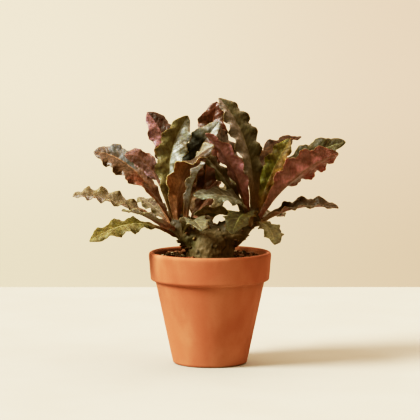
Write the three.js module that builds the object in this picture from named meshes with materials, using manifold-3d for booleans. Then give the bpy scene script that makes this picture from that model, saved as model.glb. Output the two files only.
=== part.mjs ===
// A succulent with a fat forked stem and long wavy leaves, growing in a plain terracotta pot.
// Millimetres, +Z up, origin on the pot's axis at its underside. -Y is the front, +X the right.
import * as THREE from "three";
import { mergeVertices } from "three/addons/utils/BufferGeometryUtils.js";
import Module from "manifold-3d";

const wasm = await Module();
wasm.setup();

// ---- Driving dimensions -------------------------------------------------------------------

const SEAT_GAP = 0.3; // between pieces that rest on or stand in each other

const POT = {
  height: 110,
  rimRadius: 60, // the band, at its widest
  bandRadius: 58.2, // the band, at its lower edge
  bandHeight: 28,
  neckRadius: 53.2, // the body, right under the band
  footRadius: 36.6,
  footRound: 2.6,
  wall: 5,
  floor: 8,
  corner: 4, // bevel between the floor and the wall, inside
  lipRound: 1.6,
  drainRadius: 6,
  sides: 40,
};

const SOIL = { level: 104, lump: 1.5, rings: 7, sectors: 32 };

const STEM = {
  foot: 80, // the lowest point, in the soil's hole
  buried: 22, // radius in the hole
  trunk: 24, // radius above the soil
  saddle: 134, // the trunk's top, between the arms
  sides: 24,
};

// Each arm swells out of the trunk and ends in a dome, the crown, that its leaves grow from.
const ARMS = {
  left: { start: [-4, 0, 117], elbow: [-15, -1, 126], crown: [-28, -2, 135], radii: [19, 16.5, 12] },
  right: { start: [5, 0, 118], elbow: [20, 0, 128], crown: [41, 0, 144], radii: [18, 13.5, 10] },
  back: { start: [0, 6, 116], elbow: [-3, 16, 124], crown: [-6, 27, 134], radii: [17, 14, 9.5] },
};
const ARM_STEPS = 6;
const DOME_STEPS = 4;
const SCARS = { height: 0.045, ridges: 5, turn: 14 }; // height is a share of the arm's radius

// What all leaves share. A share counts along the leaf from root to tip, or across from rib to margin.
const BLADE = {
  thickness: 1.1,
  rib: 2.1, // how far the rib stands below the blade at the root
  stalk: 2.4, // half width of the stalk
  tip: 0.4, // half width left at the very tip
  widest: 0.62, // share of the length at which it is widest
  lean: 1.45, // above 1 it is widest nearer the tip
  taper: 1, // how slowly it opens from the stalk
  blunt: 0.58, // how suddenly it closes at the tip
  flat: 0.3, // share of each half that is flat before the reflex starts
  reflexStart: 20, // reflex near the stalk, degrees
};

// The ripples of the margin: where along the leaf they grow and die down, how unevenly they are
// spaced, how much they widen the blade, and how the left margin's phase follows from the right's.
const RIPPLE = {
  from: 0.22, full: 0.38, fade: 0.82, faded: 0.25,
  uneven: 0.7, unevenRate: 5.3, widen: 0.13, leftRate: 1.7, leftShift: 2.1,
};

const TONES = {
  olive: { color: 0x4f5230, roughness: 0.42 },
  bronze: { color: 0x5a4634, roughness: 0.4 },
  maroon: { color: 0x5c2f2a, roughness: 0.45 },
  red: { color: 0x7a4038, roughness: 0.5 },
  sage: { color: 0x7d8064, roughness: 0.5 },
  yellow: { color: 0x80762f, roughness: 0.45 },
};

// The leaves, by the crown that they grow from.
//   root       where the stalk starts, from the crown's centre
//   aim, rise  direction in which it leaves: degrees round +Z from +X, and above level
//   bow        length of the first, straight pull of the rib's curve, as a share of root to tip
//   tip        where the leaf ends
//   face       the way the underside looks when the leaf stands upright, degrees round +Z from +X
//   roll       turn of the blade about its own rib, degrees
//   twist      further turn of the blade's last part, degrees
//   fold       how far each half is raised from flat, degrees
//   reflex     how far the outer part of each half bends back again, degrees
//   waves      ripples along each margin, of height ruffle, starting at phase
const PLAIN = { bow: 0.5, roll: 0, twist: 0, reflex: [30, 30] };
const LEAVES = {
  left: {
    far_high: {
      root: [-8, 3, -2], aim: 167, rise: 64, bow: 0.73, tip: [-114, 16, 207], face: 165, roll: -46,
      width: 31, fold: 14, waves: 6, phase: 0.3, ruffle: 2.4, tone: "bronze",
    },
    red: {
      root: [-6, 6, -2], aim: 164, rise: 75, bow: 0.9, tip: [-83, -6, 205], face: 150, roll: 112,
      width: 18, fold: 30, waves: 4.5, phase: 1.9, ruffle: 2, tone: "red",
    },
    back_tall: {
      root: [-2, 7, 0], aim: 79, rise: 78, bow: 0.61, tip: [-62, 37, 245], face: 100,
      width: 30, fold: 18, waves: 5, phase: 0.9, ruffle: 2, tone: "maroon",
    },
    upright: {
      root: [-5, 0, 0], aim: 172, rise: 74, bow: 0.62, tip: [-22, 6, 243], face: 106, twist: 26, roll: -26,
      width: 30, fold: 26, reflex: [25, 25], waves: 6, phase: 2.6, ruffle: 2.6, tone: "olive",
    },
    front_brown: {
      root: [-3, -6, 0], aim: -172, rise: 80, bow: 0.62, tip: [4, -27, 216], face: -66, twist: 76,
      width: 32, fold: 16, reflex: [45, 30], waves: 5.5, phase: 1.2, ruffle: 3, tone: "bronze",
    },
    front_narrow: {
      root: [4, -6, 0], aim: -60, rise: 84, bow: 0.62, tip: [-5, -56, 201], face: -22, roll: 4,
      width: 14, fold: 40, reflex: [20, 20], waves: 5, phase: 0.2, ruffle: 1.6, tone: "sage",
    },
    inner_dark: {
      root: [5, 5, 0], aim: 120, rise: 77, bow: 0.56, tip: [9, 16, 236], face: 66,
      width: 32, fold: 24, waves: 5.5, phase: 3.3, ruffle: 2.6, tone: "olive",
    },
    low_outer: {
      root: [-8, -1, -5], aim: 179, rise: 34, bow: 0.66, tip: [-134, -8, 165], face: 178, roll: -24,
      width: 25, fold: 30, waves: 7, phase: 0.6, ruffle: 2.6, tone: "bronze",
    },
    back_low: {
      root: [-5, 7, -5], aim: 125, rise: 32, tip: [-71, 66, 157], face: 125,
      width: 22, fold: 20, waves: 4, phase: 2.2, ruffle: 2.4, tone: "sage",
    },
    under: {
      root: [-6, -8, -2], aim: -150, rise: 34, tip: [-85, -40, 154], face: -150,
      width: 16, fold: 22, waves: 4, phase: 0.4, ruffle: 2.4, tone: "sage",
    },
    yellowing: {
      root: [-6, -4, -8], aim: -165, rise: 33, bow: 0.53, tip: [-116, -36, 124], face: -163, roll: -24,
      width: 28, fold: 5, reflex: [20, 20], waves: 4.5, phase: 2.9, ruffle: 2.4, tone: "yellow",
    },
    front_low: {
      root: [2, -8, -6], aim: -72, rise: 42, tip: [-8, -84, 139], face: -66, roll: 0,
      width: 26, fold: 22, waves: 4, phase: 1.1, ruffle: 2, tone: "sage",
    },
    inner_low: {
      root: [7, 2, -2], aim: 30, rise: 56, tip: [10, 20, 178], face: 38,
      width: 23, fold: 18, waves: 4, phase: 1.5, ruffle: 2.4, tone: "maroon",
    },
  },
  right: {
    broad_red: {
      root: [6, -3, -1], aim: -22, rise: 55, bow: 0.59, tip: [124, -26, 208], face: -12, roll: -52,
      width: 39, fold: 33, reflex: [60, 20], waves: 6.5, phase: 0.8, ruffle: 2.4, tone: "red",
    },
    broad_green: {
      root: [7, 2, -2], aim: 26, rise: 65, bow: 0.58, tip: [133, 14, 217], face: 0, roll: 50,
      width: 28, fold: 20, waves: 6, phase: 1.7, ruffle: 2.2, tone: "olive",
    },
    tallest: {
      root: [1, -2, 0], aim: -50, rise: 84, bow: 0.62, tip: [9, 12, 260], face: 122,
      width: 30, fold: 24, waves: 7, phase: 1.9, ruffle: 2.6, tone: "olive",
    },
    front_pink: {
      root: [-4, -3, 0], aim: -128, rise: 80, bow: 0.55, tip: [-4, -30, 228], face: -128,
      width: 25, fold: 18, waves: 5.5, phase: 0.2, ruffle: 2, tone: "red",
    },
    olive: {
      root: [4, 3, 0], aim: 12, rise: 74, tip: [79, 10, 220], face: 62,
      width: 24, fold: 24, waves: 5.5, phase: 2.4, ruffle: 2.2, tone: "yellow",
    },
    back_tall: {
      root: [1, 8, 0], aim: 75, rise: 84, bow: 0.7, tip: [91, 56, 219], face: 60,
      width: 25, fold: 20, waves: 6, phase: 0.1, ruffle: 2.8, tone: "maroon",
    },
    low_outer: {
      root: [5, -1, -7], aim: -4, rise: 37, tip: [125, -14, 154], face: -4, roll: 24,
      width: 21, fold: 36, waves: 5.5, phase: 5.7, ruffle: 2.2, tone: "bronze",
    },
    back_low: {
      root: [5, 3, -7], aim: 52, rise: 20, tip: [70, 58, 139], face: 52,
      width: 19, fold: 22, waves: 4, phase: 2, ruffle: 2.4, tone: "red",
    },
    front_drooping: {
      root: [3, -5, -5], aim: -56, rise: 8, tip: [62, -54, 123], face: -56,
      width: 23, fold: 20, waves: 4, phase: 0.7, ruffle: 2.2, tone: "olive",
    },
    front_low: {
      root: [-1, -9, -7], aim: -108, rise: 50, tip: [21, -75, 135], face: -100,
      width: 29, fold: 20, waves: 4, phase: 2.7, ruffle: 1.8, tone: "olive",
    },
    front_sage: {
      root: [-5, -9, -1], aim: -75, rise: 76, bow: 0.47, tip: [-16, -34, 168], face: -160, roll: -36,
      width: 22, fold: 16, waves: 5, phase: 0.9, ruffle: 2, tone: "sage",
    },
    inner_green: {
      root: [-6, -1, -1], aim: 176, rise: 66, tip: [-7, -8, 207], face: 148,
      width: 22, fold: 20, waves: 4, phase: 1.6, ruffle: 2.2, tone: "olive",
    },
    inner_low: {
      root: [-7, 0, -5], aim: 178, rise: 34, tip: [-16, -15, 148], face: 182, roll: 40,
      width: 16, fold: 20, waves: 4, phase: 0.5, ruffle: 1.6, tone: "olive",
    },
    inner_maroon: {
      root: [-3, 6, 0], aim: 140, rise: 76, tip: [4, 29, 233], face: 140,
      width: 25, fold: 20, waves: 5.5, phase: 2.9, ruffle: 2.4, tone: "maroon",
    },
    back_mid: {
      root: [4, 7, -2], aim: 48, rise: 44, tip: [81, 66, 189], face: 42,
      width: 23, fold: 20, waves: 4, phase: 1.1, ruffle: 2.4, tone: "bronze",
    },
  },
  back: {
    tall: {
      root: [0, 4, 0], aim: 100, rise: 86, tip: [7, 42, 255], face: 80,
      width: 34, fold: 20, waves: 6, phase: 0.4, ruffle: 2.4, tone: "maroon",
    },
    left: {
      root: [-4, 4, -2], aim: 118, rise: 55, tip: [-32, 77, 178], face: 118,
      width: 24, fold: 20, waves: 4, phase: 1.3, ruffle: 2.6, tone: "bronze",
    },
    right: {
      root: [4, 4, -2], aim: 58, rise: 56, tip: [45, 79, 182], face: 62,
      width: 22, fold: 20, waves: 4, phase: 2.2, ruffle: 2.6, tone: "olive",
    },
    low: {
      root: [0, 6, -4], aim: 92, rise: 28, tip: [-4, 82, 146], face: 92,
      width: 22, fold: 22, waves: 4, phase: 0.8, ruffle: 2.4, tone: "bronze",
    },
  },
};

// ---- Small helpers ------------------------------------------------------------------------

const radians = THREE.MathUtils.degToRad;

const { lerp, smoothstep } = THREE.MathUtils;

function direction(aim, rise) {
  const level = new THREE.Vector3(Math.cos(radians(aim)), Math.sin(radians(aim)), 0);
  return level.multiplyScalar(Math.cos(radians(rise))).setZ(Math.sin(radians(rise)));
}

// A closed geometry from points and the faces between them, each face a triangle or a quad.
function solid(points, faces) {
  const index = [];
  for (const [a, b, c, d] of faces) {
    index.push(a, b, c);
    if (d !== undefined) index.push(a, c, d);
  }
  const geometry = new THREE.BufferGeometry();
  geometry.setAttribute("position", new THREE.Float32BufferAttribute(points.flatMap((p) => p.toArray()), 3));
  geometry.setIndex(index);
  return geometry;
}

function toManifold(geometry) {
  const bare = geometry.clone();
  for (const name of Object.keys(bare.attributes)) {
    if (name !== "position") bare.deleteAttribute(name);
  }
  const merged = mergeVertices(bare, 1e-4);
  return new wasm.Manifold(
    new wasm.Mesh({
      numProp: 3,
      vertProperties: merged.attributes.position.array,
      triVerts: new Uint32Array(merged.index.array),
    }),
  );
}

function fromManifold(shape) {
  const mesh = shape.getMesh();
  const geometry = new THREE.BufferGeometry();
  geometry.setAttribute("position", new THREE.Float32BufferAttribute(mesh.vertProperties, 3));
  geometry.setIndex([...mesh.triVerts]);
  geometry.computeVertexNormals();
  return geometry;
}

// Rings of points, each ring closed on itself, joined in order and closed by a fan at both ends.
function loft(rings) {
  const n = rings[0].length;
  const points = rings.flat();
  const faces = [];
  for (let i = 0; i + 1 < rings.length; i++) {
    for (let j = 0; j < n; j++) {
      const k = (j + 1) % n;
      faces.push([i * n + j, i * n + k, (i + 1) * n + k, (i + 1) * n + j]);
    }
  }
  const middle = (ring) => ring.reduce((sum, p) => sum.add(p), new THREE.Vector3()).divideScalar(n);
  const first = points.push(middle(rings[0])) - 1;
  const last = points.push(middle(rings.at(-1))) - 1;
  const top = (rings.length - 1) * n;
  for (let j = 0; j < n; j++) {
    const k = (j + 1) % n;
    faces.push([first, k, j], [last, top + j, top + k]);
  }
  return solid(points, faces);
}

// ---- Pot ----------------------------------------------------------------------------------

function innerRadius(z) {
  const top = POT.rimRadius - POT.wall;
  const bottom = POT.footRadius - POT.wall;
  return THREE.MathUtils.mapLinear(z, POT.floor, POT.height, bottom, top);
}

function potGeometry() {
  const band = POT.height - POT.bandHeight;
  const lip = POT.lipRound;
  const outline = [
    [POT.drainRadius, 0],
    [POT.footRadius - POT.footRound, 0],
    [POT.footRadius - POT.footRound * 0.3, POT.footRound * 0.3],
    [POT.footRadius, POT.footRound],
    [POT.neckRadius, band - 1.4],
    [POT.neckRadius + 0.8, band - 0.2],
    [POT.bandRadius - 2.4, band],
    [POT.bandRadius - 0.6, band + 0.8],
    [POT.bandRadius, band + 2.6],
    [POT.rimRadius, POT.height - lip * 1.6],
    [POT.rimRadius - lip * 0.4, POT.height - lip * 0.4],
    [POT.rimRadius - lip * 1.4, POT.height],
    [POT.rimRadius - POT.wall + lip, POT.height],
    [POT.rimRadius - POT.wall, POT.height - lip],
    [innerRadius(POT.floor + POT.corner), POT.floor + POT.corner],
    [innerRadius(POT.floor) - POT.corner, POT.floor],
    [POT.drainRadius, POT.floor],
  ];
  const profile = outline.map(([r, z]) => new THREE.Vector2(r, z));
  profile.push(profile[0].clone());
  return new THREE.LatheGeometry(profile, POT.sides).rotateX(Math.PI / 2);
}

// ---- Soil ---------------------------------------------------------------------------------

// Height of the soil's top at a point: low broad swells with lumps of grit and bark on them.
function soilTop(x, y) {
  const swell = Math.sin(0.09 * x + 1.1) * Math.cos(0.11 * y - 0.4);
  const bent = [x + 2 * Math.sin(0.31 * y), y + 1.6 * Math.sin(0.27 * x)];
  const lumps = Math.sin(0.46 * bent[0]) * Math.cos(0.52 * bent[1]);
  return SOIL.level + SOIL.lump * (0.5 * swell + 0.7 * lumps);
}

function soilGeometry(stemHole) {
  const ring = (radius, height) =>
    Array.from({ length: SOIL.sectors }, (_, j) => {
      const a = (2 * Math.PI * j) / SOIL.sectors;
      const x = radius * Math.cos(a);
      const y = radius * Math.sin(a);
      return new THREE.Vector3(x, y, height ?? soilTop(x, y));
    });
  const corner = POT.floor + POT.corner;
  const shoulder = SOIL.level - 2 * SOIL.lump;
  const edge = innerRadius(shoulder) - 1.6 * SEAT_GAP;
  const rings = [
    ring(innerRadius(POT.floor) - POT.corner - SEAT_GAP, POT.floor + SEAT_GAP),
    ring(innerRadius(corner) - 1.6 * SEAT_GAP, corner + SEAT_GAP),
    ring(edge, shoulder),
  ];
  for (let i = SOIL.rings; i >= 1; i--) rings.push(ring((edge * i) / SOIL.rings));
  return fromManifold(toManifold(loft(rings)).subtract(stemHole));
}

// ---- Stem ---------------------------------------------------------------------------------

// The trunk's outline, grown outwards by extra, from its foot in the soil to the saddle.
function trunkGeometry(extra) {
  const outline = [
    [0, STEM.foot - extra],
    [STEM.buried * 0.8 + extra, STEM.foot - extra],
    [STEM.buried + extra, STEM.foot + 3],
    [STEM.buried + extra, SOIL.level - 6],
    [STEM.trunk - 0.6 + extra, SOIL.level + 1],
    [STEM.trunk + extra, SOIL.level + 8],
    [STEM.trunk * 0.98 + extra, SOIL.level + 14],
    [STEM.trunk * 0.94 + extra, SOIL.level + 20],
    [STEM.trunk * 0.8 + extra, STEM.saddle - 5.5],
    [STEM.trunk * 0.5 + extra, STEM.saddle - 1.5],
    [0, STEM.saddle + extra],
  ];
  const profile = outline.map(([r, z]) => new THREE.Vector2(r, z));
  return new THREE.LatheGeometry(profile, STEM.sides).rotateX(Math.PI / 2);
}

// One arm: rings along a bent line whose radius eases between three values, then a dome.
// Old leaf scars stand out of it in a spiral.
function armGeometry(arm, extra) {
  const [start, elbow, crown] = [arm.start, arm.elbow, arm.crown].map((p) => new THREE.Vector3(...p));
  const line = new THREE.CatmullRomCurve3([start, elbow, crown], false, "centripetal");
  const ring = (centre, radius, along, t) => {
    const across = new THREE.Vector3(0, 0, 1).cross(along).normalize();
    const over = along.clone().cross(across);
    return Array.from({ length: STEM.sides }, (_, j) => {
      const a = (2 * Math.PI * j) / STEM.sides;
      const ridge = Math.max(0, Math.sin(SCARS.ridges * a + SCARS.turn * t));
      const r = radius * (1 + SCARS.height * ridge * smoothstep(t, 0.3, 0.6)) + extra;
      return centre.clone().addScaledVector(across, r * Math.cos(a)).addScaledVector(over, r * Math.sin(a));
    });
  };
  const [thick, middle, thin] = arm.radii;
  const rings = [];
  for (let i = 0; i <= ARM_STEPS; i++) {
    const t = i / ARM_STEPS;
    const lower = lerp(thick, middle, smoothstep(t, 0, 0.5));
    const radius = lerp(lower, thin, smoothstep(t, 0.5, 1));
    rings.push(ring(line.getPoint(t), radius, line.getTangent(t), t));
  }
  for (let i = 1; i < DOME_STEPS; i++) {
    const a = (Math.PI / 2) * (i / DOME_STEPS);
    const centre = crown.clone().addScaledVector(line.getTangent(1), (thin + extra) * Math.sin(a));
    rings.push(ring(centre, (thin + extra) * Math.cos(a) - extra, line.getTangent(1), 1));
  }
  return loft(rings);
}

function stemShape(extra) {
  let shape = toManifold(trunkGeometry(extra));
  for (const arm of Object.values(ARMS)) shape = shape.add(toManifold(armGeometry(arm, extra)));
  return shape;
}

// ---- Leaves -------------------------------------------------------------------------------

// The rib at s, from 0 at the root to 1 at the tip: a quadratic curve, with the blade's own axes.
function ribAt(leaf, s) {
  const root = new THREE.Vector3(...leaf.root).add(new THREE.Vector3(...ARMS[leaf.crown].crown));
  const tip = new THREE.Vector3(...leaf.tip);
  const knee = direction(leaf.aim, leaf.rise).multiplyScalar(leaf.bow * root.distanceTo(tip)).add(root);
  const point = new THREE.QuadraticBezierCurve3(root, knee, tip).getPoint(s);
  const along = knee.clone().sub(root).lerp(tip.clone().sub(knee), s).normalize();
  const level = direction(leaf.face + 90, 0);
  const across = level.addScaledVector(along, -level.dot(along)).normalize();
  const turn = leaf.roll * smoothstep(s, 0.08, 0.58) + leaf.twist * smoothstep(s, 0.55, 0.95);
  across.applyAxisAngle(along, radians(turn));
  return { point, across, up: along.clone().cross(across) };
}

// Half the leaf's width at s: a narrow stalk that opens to the widest place and closes to a blunt tip.
function halfWidth(leaf, s) {
  const swell = Math.max(0, Math.sin(Math.PI * s ** BLADE.lean));
  const blade = swell ** (s < BLADE.widest ? BLADE.taper : BLADE.blunt);
  const stalk = BLADE.stalk * (1 - smoothstep(s, 0.75, 1));
  return Math.max(BLADE.tip, stalk * (1 - blade) + (leaf.width / 2) * blade);
}

// Section of one half, for t from 0 at the rib to 1 at the margin: flat at the fold's angle, then
// an arc that bends back by reflex. Returns how far out and up it is, as shares of the half width.
function halfSection(t, fold, reflex) {
  const flat = Math.min(t, BLADE.flat);
  const start = { out: flat * Math.cos(fold), up: flat * Math.sin(fold) };
  const bend = reflex / (1 - BLADE.flat);
  const angle = fold - bend * (t - flat);
  return {
    out: start.out + (Math.sin(fold) - Math.sin(angle)) / bend,
    up: start.up + (Math.cos(angle) - Math.cos(fold)) / bend,
  };
}

// A point of the blade's middle surface, for s along the rib and t from -1 to 1 across it.
function bladePoint(leaf, s, t) {
  const half = halfWidth(leaf, s);
  const [phase, reflex] = t < 0
    ? [RIPPLE.leftRate * leaf.phase + RIPPLE.leftShift, leaf.reflex[0]]
    : [leaf.phase, leaf.reflex[1]];
  const uneven = RIPPLE.uneven * Math.sin(RIPPLE.unevenRate * s + leaf.phase);
  const turn = 2 * Math.PI * leaf.waves * s + uneven + phase;
  const grown = smoothstep(s, RIPPLE.from, RIPPLE.full);
  const strength = grown * lerp(1, RIPPLE.faded, smoothstep(s, RIPPLE.fade, 1)) * t * t;
  const curl = lerp(BLADE.reflexStart, reflex, smoothstep(s, 0.3, 0.6));
  const section = halfSection(Math.abs(t), radians(leaf.fold), radians(curl));
  const out = Math.sign(t) * section.out * half * (1 + RIPPLE.widen * strength * Math.cos(turn));
  const lift = section.up * half + leaf.ruffle * strength * Math.sin(turn);
  const { point, across, up } = ribAt(leaf, s);
  return point.addScaledVector(across, out).addScaledVector(up, lift);
}

function bladeNormal(leaf, s, t) {
  const step = 0.01;
  const ahead = bladePoint(leaf, Math.min(1, s + step), t);
  const right = bladePoint(leaf, s, Math.min(1, t + step));
  const along = ahead.sub(bladePoint(leaf, Math.max(0, s - step), t));
  const across = right.sub(bladePoint(leaf, s, Math.max(-1, t - step)));
  return along.cross(across).normalize();
}

const ACROSS = [-1, -0.55, 0, 0.55, 1];
function leafGeometry(leaf) {
  const stations = Math.round(3 * leaf.waves) + 3;
  const rings = [];
  for (let i = 0; i <= stations; i++) {
    const s = i / stations;
    const upper = [];
    const lower = [];
    for (const t of ACROSS) {
      const middle = bladePoint(leaf, s, t);
      const normal = bladeNormal(leaf, s, t);
      const rib = BLADE.rib * (1 - s) ** 1.2 * (1 - Math.abs(t)) ** 2;
      upper.unshift(middle.clone().addScaledVector(normal, BLADE.thickness / 2));
      lower.push(middle.clone().addScaledVector(normal, -BLADE.thickness / 2 - rib));
    }
    rings.push([...upper, ...lower]);
  }
  return leafLoft(rings);
}

// Joins a leaf's rings, splitting its upper and lower faces into the same triangles.
function leafLoft(rings) {
  const n = rings[0].length;
  const points = rings.flat();
  const faces = [];
  for (let i = 0; i + 1 < rings.length; i++) {
    for (let j = 0; j < n; j++) {
      const k = (j + 1) % n;
      const [a, b, c, d] = [i * n + j, i * n + k, (i + 1) * n + k, (i + 1) * n + j];
      if (j < n / 2) faces.push([a, b, c], [a, c, d]);
      else faces.push([a, b, d], [b, c, d]);
    }
  }
  const half = n / 2;
  const last = (rings.length - 1) * n;
  for (let j = 0; j + 1 < half; j++) {
    faces.push([j, n - 1 - j, n - 2 - j, j + 1]);
    faces.push([last + j, last + j + 1, last + n - 2 - j, last + n - 1 - j]);
  }
  return solid(points, faces);
}

// ---- The plant in its pot -----------------------------------------------------------------

function paint(color, roughness) {
  return new THREE.MeshStandardMaterial({ color, roughness, metalness: 0 });
}

const plant = new THREE.Group();

function place(name, geometry, material) {
  const mesh = new THREE.Mesh(geometry, material);
  mesh.name = name;
  plant.add(mesh);
}

const stem = stemShape(0);
const aroundStem = stemShape(SEAT_GAP);

place("pot", potGeometry(), paint(0xb9633a, 0.85));
place("soil", soilGeometry(aroundStem), paint(0x2b211b, 0.95));
place("stem", fromManifold(stem), paint(0x5b4d36, 0.8));
for (const [crown, leaves] of Object.entries(LEAVES)) {
  for (const [name, shape] of Object.entries(leaves)) {
    const leaf = { ...PLAIN, ...shape, crown };
    const blade = toManifold(leafGeometry(leaf)).subtract(aroundStem);
    const { color, roughness } = TONES[leaf.tone];
    place(`leaf_${crown}_${name}`, fromManifold(blade), paint(color, roughness));
  }
}

export default plant;
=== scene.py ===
"""A succulent with a fat forked stem and long wavy leaves, in a plain terracotta pot.

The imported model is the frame. Lengths here are millimetres until a mesh is made, which is in
metres. +Z is up, -Y is the front, and the origin is on the pot's axis at its underside.
"""

import logging
import math
from dataclasses import dataclass, field, replace
from enum import Enum

import bpy
import numpy as np
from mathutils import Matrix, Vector


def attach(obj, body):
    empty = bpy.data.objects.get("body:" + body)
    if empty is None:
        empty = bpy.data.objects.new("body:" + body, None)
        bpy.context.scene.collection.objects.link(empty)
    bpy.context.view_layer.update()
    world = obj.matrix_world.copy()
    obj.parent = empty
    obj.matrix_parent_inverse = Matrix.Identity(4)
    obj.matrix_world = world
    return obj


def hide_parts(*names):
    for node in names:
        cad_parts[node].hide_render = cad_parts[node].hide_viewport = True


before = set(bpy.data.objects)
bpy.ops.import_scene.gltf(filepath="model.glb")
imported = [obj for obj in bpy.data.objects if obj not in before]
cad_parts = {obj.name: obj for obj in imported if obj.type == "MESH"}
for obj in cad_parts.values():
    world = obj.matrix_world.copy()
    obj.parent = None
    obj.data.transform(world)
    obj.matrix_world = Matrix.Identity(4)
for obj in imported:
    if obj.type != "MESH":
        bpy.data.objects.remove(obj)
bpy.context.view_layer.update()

MM = 0.001
LOG = logging.getLogger("potted_plant")
TURN = 2 * math.pi
Array = np.ndarray
Point = tuple[float, float, float]
Faces = list[list[int]]
Shell = tuple[Array, Faces]
Mesh = bpy.types.Mesh
Piece = bpy.types.Object
Material = bpy.types.Material
Socket = bpy.types.NodeSocket
Feed = Socket | float | tuple[float, ...] | str


# ---- Numbers and meshes ---------------------------------------------------------------------


def smoothstep(value: Array, low: float, high: float) -> Array:
    """Eases from 0 at low to 1 at high: 3u^2 - 2u^3 of the clamped share u."""
    share = np.clip((value - low) / (high - low), 0.0, 1.0)
    return share * share * (3.0 - 2.0 * share)


def lerp(first: Array, last: Array, share: Array) -> Array:
    """Straight mix of two values."""
    return first + (last - first) * share


def unit(vectors: Array) -> Array:
    """Vectors of length one along the last axis."""
    return vectors / np.maximum(np.linalg.norm(vectors, axis=-1, keepdims=True), 1e-9)


def direction(aim: float, rise: float) -> Array:
    """Unit vector at aim degrees round +Z from +X and rise degrees above level."""
    a, r = math.radians(aim), math.radians(rise)
    return np.array([math.cos(a) * math.cos(r), math.sin(a) * math.cos(r), math.sin(r)])


def circle(count: int) -> Array:
    """Angles of that many even steps round a circle."""
    return np.linspace(0, TURN, count, endpoint=False)


def turned(r: Array, z: Array | float, a: Array) -> Array:
    """Points at radius r, height z and angle a about +Z."""
    x, y = r * np.cos(a), r * np.sin(a)
    return np.stack([x, y, z + 0 * x], axis=-1)


def quadratic(first: Array, pull: Array, last: Array, u: Array) -> Array:
    """Quadratic curve from first to last, drawn towards pull, at u from 0 to 1."""
    return (1 - u) ** 2 * first + 2 * u * (1 - u) * pull + u**2 * last


def unevenness(points: Array, wavelength: float, seed: int, waves: int = 9) -> Array:
    """Smooth noise between about -1 and 1.

    The mean of plane waves sin(2 pi d.p / w + q) with seeded directions d, phases q, and
    wavelengths w between 0.6 and 1.6 times the one asked for, scaled by the root of their number.

    Args:
        points: places, in millimetres, along the last axis.
        wavelength: usual distance between swells, in millimetres.
        seed: picks the waves.
        waves: how many there are.

    Returns:
        One value for each place.
    """
    draw = np.random.default_rng(seed)
    ways = unit(draw.normal(size=(waves, 3)))
    ways = ways * (TURN / (wavelength * draw.uniform(0.6, 1.6, (waves, 1))))
    return np.sin(points @ ways.T + draw.uniform(0, TURN, waves)).sum(axis=-1) / math.sqrt(waves)


def ring_quads(rows: int, columns: int, ring_of_rings: bool = False) -> Array:
    """Quads from each ring of points to the next.

    Args:
        rows: how many rings there are.
        columns: how many points are in each.
        ring_of_rings: joins the last ring to the first as well.

    Returns:
        Numbers of the four corners of each.
    """
    here = np.arange(rows if ring_of_rings else rows - 1)[:, None] * columns
    above = (here + columns) % (rows * columns)
    j = np.arange(columns)
    k = (j + 1) % columns
    return np.stack([here + j, here + k, above + k, above + j], axis=-1).reshape(-1, 4)


def loft(rings: Array, ring_of_rings: bool = False) -> Shell:
    """Closed surface through rings of points, quads from ring to ring.

    Args:
        rings: points by ring, then round the ring, counter-clockwise seen from the last ring.
        ring_of_rings: joins the last ring to the first, where otherwise both ends are closed by a fan
            round their middle.

    Returns:
        The points and the faces.
    """
    rows, columns = rings.shape[:2]
    points, quads = rings.reshape(-1, 3), ring_quads(rows, columns, ring_of_rings).tolist()
    if ring_of_rings:
        return points, quads
    j = np.arange(columns)
    k = (j + 1) % columns
    first, last, top = rows * columns, rows * columns + 1, (rows - 1) * columns
    points = np.concatenate([points, rings[0].mean(axis=0)[None], rings[-1].mean(axis=0)[None]])
    low = np.stack([np.full(columns, first), k, j], axis=-1).tolist()
    high = np.stack([np.full(columns, last), top + j, top + k], axis=-1).tolist()
    return points, quads + low + high


def joined(shells: list[Shell]) -> Shell:
    """Several closed surfaces as one set of points and faces.

    Args:
        shells: the points and faces of each.

    Returns:
        All the points and all the faces, numbered on from one surface to the next.
    """
    starts = np.cumsum([0] + [len(points) for points, _ in shells]).tolist()
    faces = [[i + start for i in face] for (_, shell), start in zip(shells, starts) for face in shell]
    return np.concatenate([points for points, _ in shells]), faces


def new_mesh(name: str, points: Array, faces: Faces) -> Mesh:
    """Smooth-shaded mesh in metres from points in millimetres.

    Args:
        name: its name.
        points: its points, in millimetres.
        faces: its faces, by number of point.

    Returns:
        The mesh.
    """
    mesh = bpy.data.meshes.new(name)
    mesh.from_pydata((points * MM).tolist(), [], faces)
    mesh.polygons.foreach_set("use_smooth", np.ones(len(mesh.polygons), dtype=bool))
    mesh.update()
    return mesh


def placed(name: str, data: bpy.types.ID) -> Piece:
    """New object of the scene.

    Args:
        name: its name.
        data: its mesh, lamp or lens.

    Returns:
        The object.
    """
    made = bpy.data.objects.new(name, data)
    bpy.context.scene.collection.objects.link(made)
    return made


def new_piece(name: str, mesh: Mesh, material: Material, marks: dict[str, Array]) -> Piece:
    """Object of the plant or pot, riding on its one body.

    Args:
        name: its name in the scene.
        mesh: its mesh, already in place.
        material: its finish.
        marks: number or vector of each point, by the name of the attribute that the finish reads.

    Returns:
        The object.
    """
    for mark, values in marks.items():
        flat = np.ascontiguousarray(values, dtype=np.float32).ravel()
        whole = len(flat) == len(mesh.vertices)
        layer = mesh.attributes.new(mark, "FLOAT" if whole else "FLOAT_VECTOR", "POINT")
        layer.data.foreach_set("value" if whole else "vector", flat)
    mesh.materials.append(material)
    piece = placed(name, mesh)
    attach(piece, "root")
    LOG.info("%s: %d points, %d faces", name, len(mesh.vertices), len(mesh.polygons))
    return piece


# ---- Finishes -------------------------------------------------------------------------------


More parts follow.
